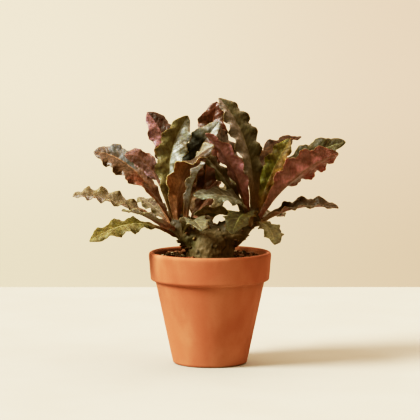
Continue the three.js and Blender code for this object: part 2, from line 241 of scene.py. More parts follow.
def linear(code: str) -> tuple[float, float, float, float]:
    """Linear colour of six hexadecimal digits.

    Args:
        code: red, green and blue as shown, two digits each.

    Returns:
        The colour, with an alpha of 1.
    """
    parts = [int(code[i : i + 2], 16) / 255 for i in (0, 2, 4)]
    red, green, blue = (c / 12.92 if c <= 0.04045 else ((c + 0.055) / 1.055) ** 2.4 for c in parts)
    return red, green, blue, 1.0


class Wiring:
    """Nodes of one material or world, and the links between them."""

    def __init__(self, owner: Material | bpy.types.World) -> None:
        """Starts with no nodes.

        Args:
            owner: what the nodes belong to.
        """
        owner.use_nodes = True
        self.tree = owner.node_tree
        self.tree.nodes.clear()

    def node(self, kind: str, **settings: object) -> bpy.types.Node:
        """Adds a node and sets its properties.

        Args:
            kind: the node's type.
            settings: its properties.

        Returns:
            The node.
        """
        made = self.tree.nodes.new(kind)
        for key, value in settings.items():
            setattr(made, key, value)
        return made

    def feed(self, socket: Socket, value: Feed) -> None:
        """Links a socket, or sets it to a number, a colour or six hexadecimal digits.

        Args:
            socket: the input to feed.
            value: what to feed it.
        """
        if isinstance(value, Socket):
            self.tree.links.new(value, socket)
        else:
            socket.default_value = linear(value) if isinstance(value, str) else value

    def ease(self, value: Feed, low: float, high: float, first: float = 0.0, last: float = 1.0) -> Socket:
        """Eases from first where the value is low to last where it is high.

        Args:
            value: what is read.
            low, high: values at which the easing starts and ends.
            first, last: results there.

        Returns:
            The eased value.
        """
        made = self.node("ShaderNodeMapRange", interpolation_type="SMOOTHSTEP")
        for name, number in zip(("From Min", "From Max", "To Min", "To Max"), (low, high, first, last)):
            made.inputs[name].default_value = number
        self.feed(made.inputs["Value"], value)
        return made.outputs["Result"]

    def blend(self, share: Feed, first: Feed, second: Feed, way: str = "MIX") -> Socket:
        """Mix of two colours: the first where share is 0 and the second where it is 1.

        Args:
            share: how much of the second there is.
            first, second: the colours.
            way: the name of the way in which the second is laid over the first.

        Returns:
            The mixed colour.
        """
        made = self.node("ShaderNodeMix", data_type="RGBA", blend_type=way)
        for socket, value in zip((0, 6, 7), (share, first, second)):
            self.feed(made.inputs[socket], value)
        return made.outputs[2]


class Recipe(Wiring):
    """Wires one material: a Principled shader, and the nodes that feed it."""

    def __init__(self, name: str, roughness: float, specular: float = 0.5) -> None:
        """Starts the material with a plain shader.

        Args:
            name: the material's name.
            roughness: the shader's roughness, where nothing feeds it.
            specular: the shader's specular level.
        """
        self.material = bpy.data.materials.new(name)
        super().__init__(self.material)
        self.shader = self.node("ShaderNodeBsdfPrincipled")
        self.shader.inputs["Roughness"].default_value = roughness
        self.shader.inputs["Specular IOR Level"].default_value = specular
        out = self.node("ShaderNodeOutputMaterial")
        self.tree.links.new(self.shader.outputs["BSDF"], out.inputs["Surface"])
        self.where = self.node("ShaderNodeTexCoord").outputs["Object"]

    def mark(self, name: str) -> Socket:
        """Reads one of the mesh's own attributes."""
        return self.node("ShaderNodeAttribute", attribute_name=name).outputs["Fac"]

    def noise(
        self, size: float, detail: float = 3.0, stretch: Point = (1, 1, 1), warp: float = 0.0,
        where: Socket | None = None,
    ) -> Socket:
        """Noise over the object's own coordinates, or over another place.

        Args:
            size: width of its patches, in millimetres.
            detail: octaves of finer noise in it.
            stretch: how much longer the patches are along each axis.
            warp: how far the patches are pulled about.
            where: the place, in metres, if it isn't the object's own coordinates.

        Returns:
            A value round 0.5.
        """
        mapping = self.node("ShaderNodeMapping")
        self.feed(mapping.inputs["Vector"], where or self.where)
        mapping.inputs["Scale"].default_value = [1.0 / s for s in stretch]
        made = self.node("ShaderNodeTexNoise")
        self.feed(made.inputs["Vector"], mapping.outputs["Vector"])
        made.inputs["Scale"].default_value = 1.0 / (size * MM)
        made.inputs["Detail"].default_value = detail
        made.inputs["Distortion"].default_value = warp
        return made.outputs["Fac"]

    def arithmetic(self, kind: str, first: Feed, second: Feed = 0.0) -> Socket:
        """One step of arithmetic.

        Args:
            kind: the operation's name.
            first, second: the values that it works on.

        Returns:
            Its result.
        """
        made = self.node("ShaderNodeMath", operation=kind)
        self.feed(made.inputs[0], first)
        self.feed(made.inputs[1], second)
        return made.outputs["Value"]

    def times(self, first: Feed, second: Feed) -> Socket:
        """Product of two values."""
        return self.arithmetic("MULTIPLY", first, second)

    def plus(self, first: Feed, second: Feed) -> Socket:
        """Sum of two values."""
        return self.arithmetic("ADD", first, second)

    def shaded(self, share: Feed, colour: Feed, shade: str) -> Socket:
        """The colour, multiplied by shade where share is 1."""
        return self.blend(share, colour, self.blend(1.0, colour, shade, "MULTIPLY"))

    def relief(self, height: Feed, depth: float, strength: float = 1.0) -> None:
        """Raises fine relief, up to depth millimetres high, on the shader's normal.

        Args:
            height: the relief, from 0 to about 1.
            depth: its depth, in millimetres.
            strength: how strongly it turns the light.
        """
        made = self.node("ShaderNodeBump")
        made.inputs["Strength"].default_value = strength
        made.inputs["Distance"].default_value = depth * MM
        self.feed(made.inputs["Height"], height)
        self.feed(self.shader.inputs["Normal"], made.outputs["Normal"])

    def finish(self, colour: Feed, roughness: Feed | None = None) -> Material:
        """Gives the shader its colour, and its roughness where that varies.

        Args:
            colour: the base colour.
            roughness: the roughness, if it varies.

        Returns:
            The material.
        """
        self.feed(self.shader.inputs["Base Color"], colour)
        if roughness is not None:
            self.feed(self.shader.inputs["Roughness"], roughness)
        return self.material


@dataclass(frozen=True)
class LeafFinish:
    """Skin of one leaf. A pair is the half at side -1, then the half at side +1. On some leaves a pale half
    is a painted sheen, a near-black inner colour is painted shade, and an orange-brown under face is partly
    painted light shining through.

    The upper and under faces have a colour for each half, broken by patches. Towards the stalk the upper face
    turns to the colour inner, where there is one. Rib, margin and stalk are drawn over them along the leaf's
    own marks: side, along, under and vein. The mark grain is the place on the blade, in metres: out from the
    rib, and along it, slanting as the side veins do. The field slot is not used, and sizes are in
    millimetres.
    """

    slot: str
    upper: tuple[str, str]
    under: tuple[str, str]
    patch: str
    under_patch: str
    rib: str
    under_rib: str
    margin: str
    stalk: str
    inner: tuple[str, str] | None = None
    inner_end: tuple[float, float] = (0.35, 0.6)
    patches: float = 0.5
    vein: float = 0.2
    gloss: float = 0.4
    wax: float = 0.36
    edge: float = 0.4
    stalk_end: float = 0.4
    patch_size: float = 24.0
    mottle_size: float = 4.0
    streak_size: float = 0.9
    streak_length: float = 6.0
    dull: str = "aca08a"
    fleck: str = "94886e"
    relief: float = 0.3
    glow: float = 0.4
    glow_reach: float = 1.6

    def material(self, name: str) -> Material:
        """Makes the leaf's material.

        Args:
            name: the leaf's name.

        Returns:
            The material.
        """
        mix = Recipe(name, self.gloss, self.wax)
        side, along, under = mix.mark("side"), mix.mark("along"), mix.mark("under")
        grain = mix.node("ShaderNodeAttribute", attribute_name="grain").outputs["Vector"]
        mottle = mix.noise(self.mottle_size, 5)
        streak = mix.noise(self.streak_size, 4, (self.streak_length, 1, 1), 0.3, grain)
        colour = mix.blend(under, *self.faces(mix, side, along))
        margin = mix.ease(mix.arithmetic("ABSOLUTE", side), 0.95, 0.99, 0.0, self.edge)
        colour = mix.blend(margin, colour, self.margin)
        stalk = mix.ease(along, self.stalk_end * 0.35, self.stalk_end, 1.0, 0.0)
        colour = mix.blend(stalk, colour, self.stalk)
        colour = mix.shaded(mix.ease(mottle, 0.3, 0.7, 0.35, 0.9), colour, self.dull)
        colour = mix.shaded(mix.ease(streak, 0.4, 0.72, 0.0, 0.45), colour, self.fleck)
        height = mix.plus(mix.times(streak, 0.9), mix.times(mottle, 0.7))
        mix.relief(mix.plus(height, mix.noise(0.8, 2)), self.relief, 0.6)
        mix.shader.inputs["Subsurface Weight"].default_value = self.glow
        mix.shader.inputs["Subsurface Radius"].default_value = (1.0, 0.7, 0.3)
        mix.shader.inputs["Subsurface Scale"].default_value = self.glow_reach * MM
        shine = mix.ease(mix.plus(mottle, streak), 0.7, 1.3, self.gloss - 0.1, self.gloss + 0.14)
        return mix.finish(colour, shine)

    def faces(self, mix: Recipe, side: Socket, along: Socket) -> list[Socket]:
        """Colours of both faces: the halves, then patches, side veins and rib over them.

        Args:
            mix: the material being made.
            side: place across the blade, from -1 to 1.
            along: place along it, from 0 at the root to 1 at the tip.

        Returns:
            The upper face's colour and the under face's.
        """
        half = mix.ease(side, -0.05, 0.05)
        upper, lower = mix.blend(half, *self.upper), mix.blend(half, *self.under)
        if self.inner:
            upper = mix.blend(mix.ease(along, *self.inner_end, 1.0, 0.0), upper, mix.blend(half, *self.inner))
        first_patch = 0.62 - 0.3 * self.patches
        cloudy = mix.ease(mix.noise(self.patch_size, 4, warp=0.6), first_patch, first_patch + 0.12)
        from_rib = mix.times(mix.arithmetic("ABSOLUTE", side), mix.ease(along, 0.0, 1.0, 1.0, 1.6))
        rib, vein = mix.ease(from_rib, 0.035, 0.1, 1.0, 0.0), mix.mark("vein")
        bases = (
            (upper, self.patch, self.rib, 0.8, self.vein),
            (lower, self.under_patch, self.under_rib, 0.7, 0.7 * self.vein),
        )
        made = []
        for colour, patch, rib_colour, strong, veined in bases:
            layers = ((cloudy, strong, patch), (vein, veined, rib_colour), (rib, strong, rib_colour))
            for share, strength, over in layers:
                colour = mix.blend(mix.times(share, strength), colour, over)
            made.append(colour)
        return made


BRONZE = LeafFinish(
    slot="leaf_bronze", upper=("6e5740", "6e5a40"), under=("8c5a4c", "8c5a4a"), patch="564a32",
    under_patch="7c5444", rib="9c8464", under_rib="a07460", margin="94784e", stalk="8e6450",
)
OLIVE = replace(BRONZE, slot="leaf_olive", upper=("625e3e", "5e583a"), under=("726a48", "766848"),
                patch="4a4228", under_patch="765e48", rib="989a74", under_rib="948460", margin="84784e",
                stalk="80644a")
MAROON = replace(BRONZE, slot="leaf_maroon", upper=("5c3028", "5e3428"), under=("7c4a42", "784438"),
                 patch="442a1c", under_patch="5c3a2c", rib="7c5a48", under_rib="845448", margin="7c5644",
                 stalk="8a5a4a")
RED = replace(BRONZE, slot="leaf_red", upper=("68623e", "625a3c"), under=("a06e70", "945c5a"),
              patch="5c5438", under_patch="8c6256", rib="9c8464", under_rib="a47a70", margin="845e48",
              stalk="9a645c")
SAGE = replace(BRONZE, slot="leaf_sage", upper=("7e7e6a", "7c7a60"), under=("848268", "868068"),
               patch="8a8a74", under_patch="8c8874", rib="b8b69e", under_rib="a8a28a", margin="9a8e70",
               vein=0.25)
YELLOW = replace(BRONZE, slot="leaf_yellow", upper=("887e42", "84804c"), under=("868450", "8c8854"),
                 patch="6e6636", under_patch="908854", rib="b0aa78", under_rib="a8a070", margin="8c7c4c")


@dataclass(frozen=True)
class Terracotta:
    """Bare fired clay: broad pale and reddish clouds, fine pores, a warmer inner wall, and painted shade on
    that wall's left.

    Sizes are in millimetres. The painted shade, in the colour inner_wall_shade, darkens the left of the inner
    wall, which faces away from the key light, and fades out between the two places along X in
    inner_wall_shade_span.
    """

    clay: str = "a15f49"
    bloom: str = "b0725a"
    fired: str = "8e4c37"
    inner: str = "c08064"
    inner_wall_shade: str = "6c4232"
    inner_wall_shade_span: tuple[float, float] = (-10.0, 30.0)
    bloom_size: float = 48.0
    fired_size: float = 30.0
    inner_size: float = 14.0
    pore_size: float = 1.1

    def material(self) -> Material:
        """Makes the clay, which reads the mark inside, 1 on the pot's inner wall.

        Returns:
            The material.
        """
        mix = Recipe("terracotta", 0.82, 0.25)
        inside = mix.mark("inside")
        bloom = mix.noise(self.bloom_size, 3, (1, 1, 1.6), 0.4)
        fired = mix.noise(self.fired_size, 4, (1, 1, 2.5))
        pores = mix.noise(self.pore_size, 3)
        colour = mix.blend(mix.ease(bloom, 0.42, 0.7), self.clay, self.bloom)
        colour = mix.blend(mix.ease(fired, 0.5, 0.78, 0.0, 0.6), colour, self.fired)
        colour = mix.blend(mix.ease(pores, 0.56, 0.74, 0.0, 0.22), colour, self.fired)
        warm = mix.times(inside, mix.ease(mix.noise(self.inner_size, 3), 0.2, 0.6, 0.7, 1.0))
        colour = mix.blend(warm, colour, self.inner)
        # Painted shade: the inner wall darkens towards its left, which faces away from the key light.
        place = mix.node("ShaderNodeSeparateXYZ")
        mix.feed(place.inputs[0], mix.where)
        left = mix.ease(place.outputs["X"], self.inner_wall_shade_span[0] * MM, self.inner_wall_shade_span[1] * MM, 1.0, 0.0)
        colour = mix.blend(mix.times(inside, left), colour, self.inner_wall_shade)
        mix.relief(mix.plus(pores, mix.noise(0.5, 2)), 0.12, 0.45)
        return mix.finish(colour, mix.ease(pores, 0.3, 0.7, 0.74, 0.9))


@dataclass(frozen=True)
class Crumble:
    """Loose matter on the pot's soil: a colour, a second one in patches, and a rough skin."""

    name: str
    colour: str
    other: str
    size: float = 3.0
    roughness: float = 0.92
    depth: float = 0.4
    dust: str = "8a7a68"

    def material(self) -> Material:
        """Makes the crumbly material.

        Returns:
            The material.
        """
        mix = Recipe(self.name, self.roughness, 0.3)
        patches = mix.noise(self.size, 5, warp=0.5)
        fine = mix.noise(self.size * 0.2, 3)
        colour = mix.blend(mix.ease(patches, 0.4, 0.64), self.colour, self.other)
        colour = mix.shaded(mix.ease(fine, 0.35, 0.7, 0.0, 0.5), colour, self.dust)
        mix.relief(mix.plus(patches, fine), self.depth, 0.8)
        return mix.finish(colour, mix.ease(fine, 0.3, 0.7, self.roughness - 0.12, self.roughness))


@dataclass(frozen=True)
class Bark:
    """Skin of the old stem: tan, umber and grey-green, with dark cracks along the grain, pale scars, and
    painted shade on its top.
    """

    tan: str = "746048"
    umber: str = "544430"
    green: str = "565438"
    crack: str = "20160e"
    pale: str = "c8b494"

    def material(self) -> Material:
        """Makes the bark, which reads the marks green, crack and scar. The mark crack also carries painted
        shade on the top of the stem.

        Returns:
            The material.
        """
        mix = Recipe("stem_bark", 0.62, 0.35)
        cloud = mix.noise(9, 4, (1, 1, 2.2), 0.5)
        colour = mix.blend(mix.ease(cloud, 0.36, 0.68), self.tan, self.umber)
        colour = mix.blend(mix.mark("green"), colour, self.green)
        grain = mix.noise(1.6, 4, (1, 1, 5))
        colour = mix.blend(mix.ease(grain, 0.52, 0.7, 0.0, 0.55), colour, self.crack)
        # The mark crack holds real cracks, rings and scar lips, plus painted shade on the top of the stem.
        colour = mix.blend(mix.mark("crack"), colour, self.crack)
        colour = mix.blend(mix.mark("scar"), colour, self.pale)
        mix.relief(mix.plus(grain, mix.noise(0.7, 3)), 0.5, 0.7)
        return mix.finish(colour, mix.ease(grain, 0.3, 0.7, 0.5, 0.75))


@dataclass(frozen=True)
class DryStub:
    """Withered leaf bases: near black at the foot, rusty and straw-coloured at the broken end."""

    foot: str = "3c2a20"
    rust: str = "6a4630"
    straw: str = "8c7450"

    def material(self) -> Material:
        """Makes the stubs' material, which reads the mark end.

        Returns:
            The material.
        """
        mix = Recipe("dry_stubs", 0.7, 0.3)
        end = mix.mark("end")
        speck = mix.noise(2.4, 4, warp=0.4)
        colour = mix.blend(mix.ease(speck, 0.42, 0.66), self.foot, self.rust)
        tipped = mix.times(mix.ease(end, 0.72, 0.97), mix.ease(mix.noise(6, 2), 0.46, 0.6))
        colour = mix.blend(tipped, colour, self.straw)
        mix.relief(speck, 0.5, 0.7)
        return mix.finish(colour)


# ---- Pot ------------------------------------------------------------------------------------


@dataclass
class Pot:
    """Plain pot: tapered body, deep rolled band, flat foot with a drain hole."""

    height: float = 110.0
    rim_radius: float = 60.0
    band_radius: float = 58.2
    band_height: float = 28.0
    neck_radius: float = 53.2
    foot_radius: float = 36.6
    foot_round: float = 2.6
    wall: float = 5.0
    floor: float = 8.0
    corner: float = 4.0
    lip: float = 1.6
    drain: float = 6.0
    around: int = 168
    longest: float = 4.0
    edge_round: float = 2.0
    oval: float = 0.2
    lumps: float = 0.1
    wheel_ring: float = 0.06
    wheel_step: float = 5.5
    clay: Terracotta = field(default_factory=Terracotta)

    def inner_radius(self, z: float) -> float:
        """Radius of the inner wall at z, on a straight line from the floor to the rim."""
        share = (z - self.floor) / (self.height - self.floor)
        return lerp(self.foot_radius - self.wall, self.rim_radius - self.wall, share)

    def outline(self) -> Array:
        """Corners of the wall's section: up the outside and down the inside.

        Returns:
            Radius and height of each corner.
        """
        rim, top, lip, inner = self.rim_radius, self.height, self.lip, self.rim_radius - self.wall
        foot, neck, band_radius, bend = self.foot_radius, self.neck_radius, self.band_radius, self.foot_round
        band, low = self.height - self.band_height, self.floor + self.corner
        return np.array([
            (self.drain, 0), (foot - bend, 0), (foot - 0.3 * bend, 0.3 * bend), (foot, bend),
            (neck, band - 1.4), (neck + 0.8, band - 0.2),
            (band_radius - 2.4, band), (band_radius - 0.6, band + 0.8), (band_radius, band + 2.6),
            (rim, top - 1.6 * lip), (rim - 0.4 * lip, top - 0.4 * lip), (rim - 1.4 * lip, top),
            (inner + lip, top), (inner, top - lip),
            (self.inner_radius(low), low), (self.inner_radius(self.floor) - self.corner, self.floor),
            (self.drain, self.floor),
        ], dtype=float)

    def section(self) -> Array:
        """The outline with rounded corners and no long straight step.

        Each corner becomes the quadratic curve between two points on its sides, as far away as
        edge_round, or 0.45 of a side where that is less. Each straight stretch is cut into steps no
        longer than longest.

        Returns:
            Radius and height of each point.
        """
        corners = self.outline()
        ends = []
        for beside in (np.roll(corners, 1, axis=0), np.roll(corners, -1, axis=0)):
            side = np.linalg.norm(beside - corners, axis=1, keepdims=True)
            reach = np.minimum(self.edge_round, 0.45 * side)
            ends.append(corners + unit(beside - corners) * reach)
        start, end = ends
        u = np.linspace(0, 1, 6)[None, :, None]
        curves = quadratic(start[:, None], corners[:, None], end[:, None], u)
        line = []
        for curve, following in zip(curves, np.roll(start, -1, axis=0)):
            steps = max(1, math.ceil(np.linalg.norm(following - curve[-1]) / self.longest))
            line += [curve, lerp(curve[-1], following, np.arange(1, steps)[:, None] / steps)]
        return np.concatenate(line)

    def build(self) -> Piece:
        """Turns the section about the axis, a little out of round, with faint rings of the wheel.

        Radius at height z and angle a = section radius + oval cos(2a + 0.6) + lumps cos(5a + 2)
        + wheel_ring sin(2 pi z / wheel_step + 0.4 sin a), the last two only on the outside.

        Returns:
            The piece that stands for the pot.
        """
        radius, z = self.section().T[:, :, None]
        a = circle(self.around)[None]
        outside = (radius > self.inner_radius(z) + 2.5) & (z > 1)
        wheel = self.wheel_ring * np.sin(TURN * z / self.wheel_step + 0.4 * np.sin(a))
        uneven = (self.lumps * np.cos(5 * a + 2) + wheel) * outside
        r = radius + self.oval * np.cos(2 * a + 0.6) * (z > 1) + uneven
        points, faces = loft(turned(r, z, a), ring_of_rings=True)
        hollow = (z < self.height - 0.8) & (radius < self.inner_radius(z) + 1.2) & (z > self.floor - 1)
        inside = hollow * smoothstep(self.height - z, 0.5, 3.5) + 0 * r
        mesh = new_mesh("pot_body", points, faces)
        piece = new_piece("pot_body", mesh, self.clay.material(), {"inside": inside})
        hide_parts("pot")
        return piece


# ---- Stem -----------------------------------------------------------------------------------


@dataclass(frozen=True)
class ArmSize:
    """An arm of the stem: its line through three points, its radius at each, and its old leaves.

    The line goes from start, inside the trunk, by elbow to crown, where its new leaves grow.
    """

    start: Point
    elbow: Point
    crown: Point
    radii: tuple[float, float, float]
    old_leaves: int
    seed: int

    def line(self, t: Array) -> Array:
        """Points at t, from 0 to 1, of a centripetal Catmull-Rom line through the three.

        The elbow is at t = 0.5. Beyond each end the line would go on to the elbow's reflection in
        that end.

        Args:
            t: places along the arm.

        Returns:
            The points.
        """
        p1, p2, p3 = (np.array(p, dtype=float) for p in (self.start, self.elbow, self.crown))
        p0, p4 = 2 * p1 - p2, 2 * p3 - p2
        first = self.span((p0, p1, p2, p3), np.clip(2 * t, 0, 1))
        second = self.span((p1, p2, p3, p4), np.clip(2 * t - 1, 0, 1))
        return np.where(t[:, None] < 0.5, first, second)

    @staticmethod
    def span(ends: tuple[Array, ...], u: Array) -> Array:
        """One span of the line, between the second and the third of four points.

        A cubic with the two slopes of the centripetal rule, whose knots are as far apart as the
        square root of the distance between their points.

        Args:
            ends: the four points.
            u: places from 0 to 1 along the span.

        Returns:
            The points.
        """
        gaps = [math.sqrt(np.linalg.norm(b - a)) for a, b in zip(ends, ends[1:])]
        slope = [
            gaps[1] * ((ends[k] - ends[k - 1]) / gaps[k - 1]
                       - (ends[k + 1] - ends[k - 1]) / (gaps[k - 1] + gaps[k])
                       + (ends[k + 1] - ends[k]) / gaps[k])
            for k in (1, 2)
        ]
        u = u[:, None]
        ease, rest = 3 * u**2 - 2 * u**3, u**3 - u**2
        return ends[1] * (1 - ease) + ends[2] * ease + slope[0] * (rest - u**2 + u) + slope[1] * rest

    def radius(self, t: Array) -> Array:
        """Radius at t: eased from thick to middle by the elbow and to thin by the crown.

        Args:
            t: places along the arm.

        Returns:
            The radii.
        """
        thick, middle, thin = self.radii
        lower = lerp(thick, middle, smoothstep(t, 0, 0.5))
        return lerp(lower, thin, smoothstep(t, 0.5, 1))

    def frames(self, t: Array) -> tuple[Array, Array, Array, Array]:
        """Centre, direction, level side and upper side of the arm at t.

        Args:
            t: places along the arm.

        Returns:
            The four, each with a row for every place.
        """
        centre = self.line(t)
        along = unit(self.line(np.clip(t + 0.01, 0, 1)) - self.line(np.clip(t - 0.01, 0, 1)))
        across = unit(np.cross(np.array([0.0, 0.0, 1.0]), along))
        return centre, along, across, np.cross(along, across)

    def surface(self, columns: int = 64, rows: int = 30, cap: int = 8) -> Shell:
        """The arm as rings round its line, ending in a dome, with five winding ridges.

        Radius = radius(t) (1 + 0.045 max(0, sin(5a + 14t)) eased in between t = 0.3 and 0.6).

        Args:
            columns: points round a ring.
            rows: rings along the arm.
            cap: rings of the dome.

        Returns:
            The surface.
        """
        a = circle(columns)[None, :, None]
        t = np.linspace(0, 1, rows)
        centre, along, across, over = (v[:, None] for v in self.frames(t))
        ridge = np.maximum(0, np.sin(5 * a + 14 * t[:, None, None])) * smoothstep(t, 0.3, 0.6)[:, None, None]
        r = self.radius(t)[:, None, None] * (1 + 0.045 * ridge)
        tube = centre + across * r * np.cos(a) + over * r * np.sin(a)
        b = (math.pi / 2 * np.arange(1, cap) / cap)[:, None, None]
        thin = self.radii[2]
        dome = centre[-1:] + along[-1:] * thin * np.sin(b)
        dome = dome + (across[-1:] * np.cos(a) + over[-1:] * np.sin(a)) * thin * np.cos(b)
        return loft(np.concatenate([tube, dome]))


class Arm(Enum):
    """The three arms of the stem."""

    LEFT = ArmSize((-4, 0, 117), (-15, -1, 126), (-28, -2, 135), (19, 16.5, 12), 46, 3)
    RIGHT = ArmSize((5, 0, 118), (20, 0, 128), (41, 0, 144), (18, 13.5, 10), 44, 8)
    BACK = ArmSize((0, 6, 116), (-3, 16, 124), (-6, 27, 134), (17, 14, 9.5), 34, 5)


@dataclass
class Stem:
    """Swollen forked stem: a stubby trunk, three arms, and the stubs of old leaves on them."""

    foot: float = 80.0
    buried: float = 22.0
    trunk: float = 24.0
    saddle: float = 134.0
    soil: float = 104.0
    voxel: float = 1.1
    scar: Point = (4.6, -23.2, 118.2)
    scar_size: Point = (3.0, 6.0, 1.9)
    lump: float = 0.55
    dent: float = 0.3
    crack_depth: float = 0.8
    ring_depth: float = 0.5
    lip_height: float = 0.9
    eye_depth: float = 0.4
    stub_rows: int = 6
    stub_columns: int = 10
    stub_length: tuple[float, float] = (1.6, 3.4)
    stub_width: tuple[float, float] = (2.0, 3.2)
    stub_sunk: float = 1.4
    bark: Bark = field(default_factory=Bark)
    stub: DryStub = field(default_factory=DryStub)

    def trunk_surface(self, columns: int = 72) -> Shell:
        """The trunk: a profile turned about +Z, from its buried foot to the saddle between the arms.

        Args:
            columns: points round a ring.

        Returns:
            The surface.
        """
        soil, trunk, buried, saddle = self.soil, self.trunk, self.buried, self.saddle
        outline = np.array([
            (buried * 0.8, self.foot), (buried, self.foot + 3), (buried, soil - 6), (trunk - 0.6, soil + 1),
            (trunk, soil + 8), (trunk * 0.98, soil + 14), (trunk * 0.94, soil + 20),
            (trunk * 0.8, saddle - 5.5), (trunk * 0.5, saddle - 1.5), (1.0, saddle),
        ])
        r, z = outline.T[:, :, None]
        return loft(turned(r, z, circle(columns)))

    def fused(self) -> Mesh:
        """Trunk and arms made one skin: a fine remesh, then smoothed where they meet.

        Returns:
            The skin's mesh.
        """
        points, faces = joined([self.trunk_surface()] + [arm.value.surface() for arm in Arm])
        draft = placed("stem_draft", new_mesh("stem_draft", points, faces))
        remesh = draft.modifiers.new("one_skin", "REMESH")
        remesh.mode, remesh.voxel_size, remesh.use_smooth_shade = "VOXEL", self.voxel * MM, True
        smooth = draft.modifiers.new("soften", "SMOOTH")
        smooth.factor, smooth.iterations = 0.6, 10
        whole = draft.evaluated_get(bpy.context.evaluated_depsgraph_get())
        mesh = bpy.data.meshes.new_from_object(whole)
        bpy.data.objects.remove(draft)
        return mesh

    def skin(self) -> Piece:
        """The fused skin, pushed along its normals into lumps, cracks and scars.

        Height = lump, in swells of 14 mm, + dent, in swells of 5 mm, - crack_depth at a crack
        - ring_depth at a ring + lip_height - eye_depth at the big scar. A crack is the eighth
        power of a wave round the trunk bent by noise, a ring is the tenth power of one up it, and the
        scar is a raised lip round a sunk eye.

        Returns:
            The piece that stands for the stem.
        """
        mesh = self.fused()
        mesh.name = "stem_skin"
        flat, normal = np.empty((2, len(mesh.vertices) * 3))
        mesh.vertices.foreach_get("co", flat)
        mesh.vertices.foreach_get("normal", normal)
        p, normal = flat.reshape(-1, 3) / MM, normal.reshape(-1, 3)
        low = 1 - smoothstep(p[:, 2], 118, 132)
        wave = np.sin(13 * np.arctan2(p[:, 1], p[:, 0]) + 2.2 * unevenness(p, 16, 4) + 0.05 * p[:, 2])
        crack = np.maximum(0, wave) ** 8 * low * smoothstep(unevenness(p, 11, 6), -0.3, 0.9)
        climb = np.sin(TURN * p[:, 2] / 9.0 + 1.6 * unevenness(p, 22, 9))
        ring = np.maximum(0, climb) ** 10 * (1 - 0.5 * low)
        off = (((p - np.array(self.scar)) / np.array(self.scar_size)) ** 2).sum(axis=1)
        eye, lip = np.exp(-5 * off), np.exp(-6 * (off - 0.9) ** 2)
        height = self.lump * unevenness(p, 14, 1) + self.dent * unevenness(p, 5, 2)
        height = height - self.crack_depth * crack - self.ring_depth * ring
        p = p + normal * (height + self.lip_height * lip - self.eye_depth * eye)[:, None]
        mesh.vertices.foreach_set("co", (p * MM).ravel())
        mesh.update()
        lobe = np.exp(-(((p - np.array([-19, -14, 121])) / np.array([12, 12, 9])) ** 2).sum(axis=1))
        green = 0.75 * lobe + 0.25 * smoothstep(unevenness(p, 18, 7), 0.2, 1.2)
        # Painted shade: the top of the stem, round the leaf bases, is darkened to the crack colour.
        crown = smoothstep(p[:, 2], 126, 136)
        marks = {
            "green": np.clip(green, 0, 1),
            "crack": np.clip(crack + 0.6 * ring + 0.8 * lip + 0.8 * crown, 0, 1),
            "scar": np.clip(eye, 0, 0.9),
        }
        piece = new_piece("stem_skin", mesh, self.bark.material(), marks)
        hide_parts("stem")
        return piece

    def stub_rings(self, arm: ArmSize) -> Array:
        """Oval rings of one arm's stubs, along a bent line out of the arm, all made at once.

        At u from 0 to 1 along a stub its half width is wide (1 - 0.45 u) and its half thickness
        0.62 wide (1 - 0.62 u), and a wave of three round it makes its end ragged. Each stub lies a
        golden angle on from the last.

        Args:
            arm: the arm that they are on.

        Returns:
            The points by stub, then along it, then round it.
        """
        count, draw = arm.old_leaves, np.random.default_rng(arm.seed)
        t = np.linspace(0.28, 1.0, count) + draw.normal(0, 0.02, count)
        a = np.arange(count) * math.radians(137.5) + draw.normal(0, 0.2, count)
        long = draw.uniform(*self.stub_length, (count, 1, 1, 1))
        wide = draw.uniform(*self.stub_width, (count, 1, 1, 1))
        centre, along, across, over = arm.frames(np.clip(t, 0, 1))
        out = across * np.cos(a)[:, None] + over * np.sin(a)[:, None]
        foot = centre + out * (arm.radius(np.clip(t, 0, 1)) - self.stub_sunk)[:, None]
        side, lean = unit(np.cross(along, out)), unit(out * 0.8 + along * 0.5)
        flat_way = unit(np.cross(side, lean))
        foot, along, side, lean, flat_way = (v[:, None, None] for v in (foot, along, side, lean, flat_way))
        u = np.linspace(0, 1, self.stub_rows)[None, :, None, None]
        b = circle(self.stub_columns)[None, None, :, None]
        spine = foot + lean * long * u + along * long * 0.45 * u**2
        width, thick = wide * (1 - 0.45 * u), 0.62 * wide * (1 - 0.62 * u)
        ragged = 0.12 * np.sin(3 * b + 45 * t.reshape(-1, 1, 1, 1)) * long * u**4
        return spine + side * width * np.cos(b) + flat_way * thick * np.sin(b) + lean * ragged

    def stubs(self) -> Piece:
        """Bases of old leaves, winding round the arms: flat tapered stumps that turn upwards.

        Returns:
            The piece with all stubs in one mesh.
        """
        stubs = [loft(stub) for arm in Arm for stub in self.stub_rings(arm.value)]
        along = np.repeat(np.linspace(0, 1, self.stub_rows), self.stub_columns)
        marks = {"end": np.tile(np.concatenate([along, [0, 1]]), len(stubs))}
        mesh = new_mesh("stem_stubs", *joined(stubs))
        return new_piece("stem_stubs", mesh, self.stub.material(), marks)


# ---- Soil -----------------------------------------------------------------------------------


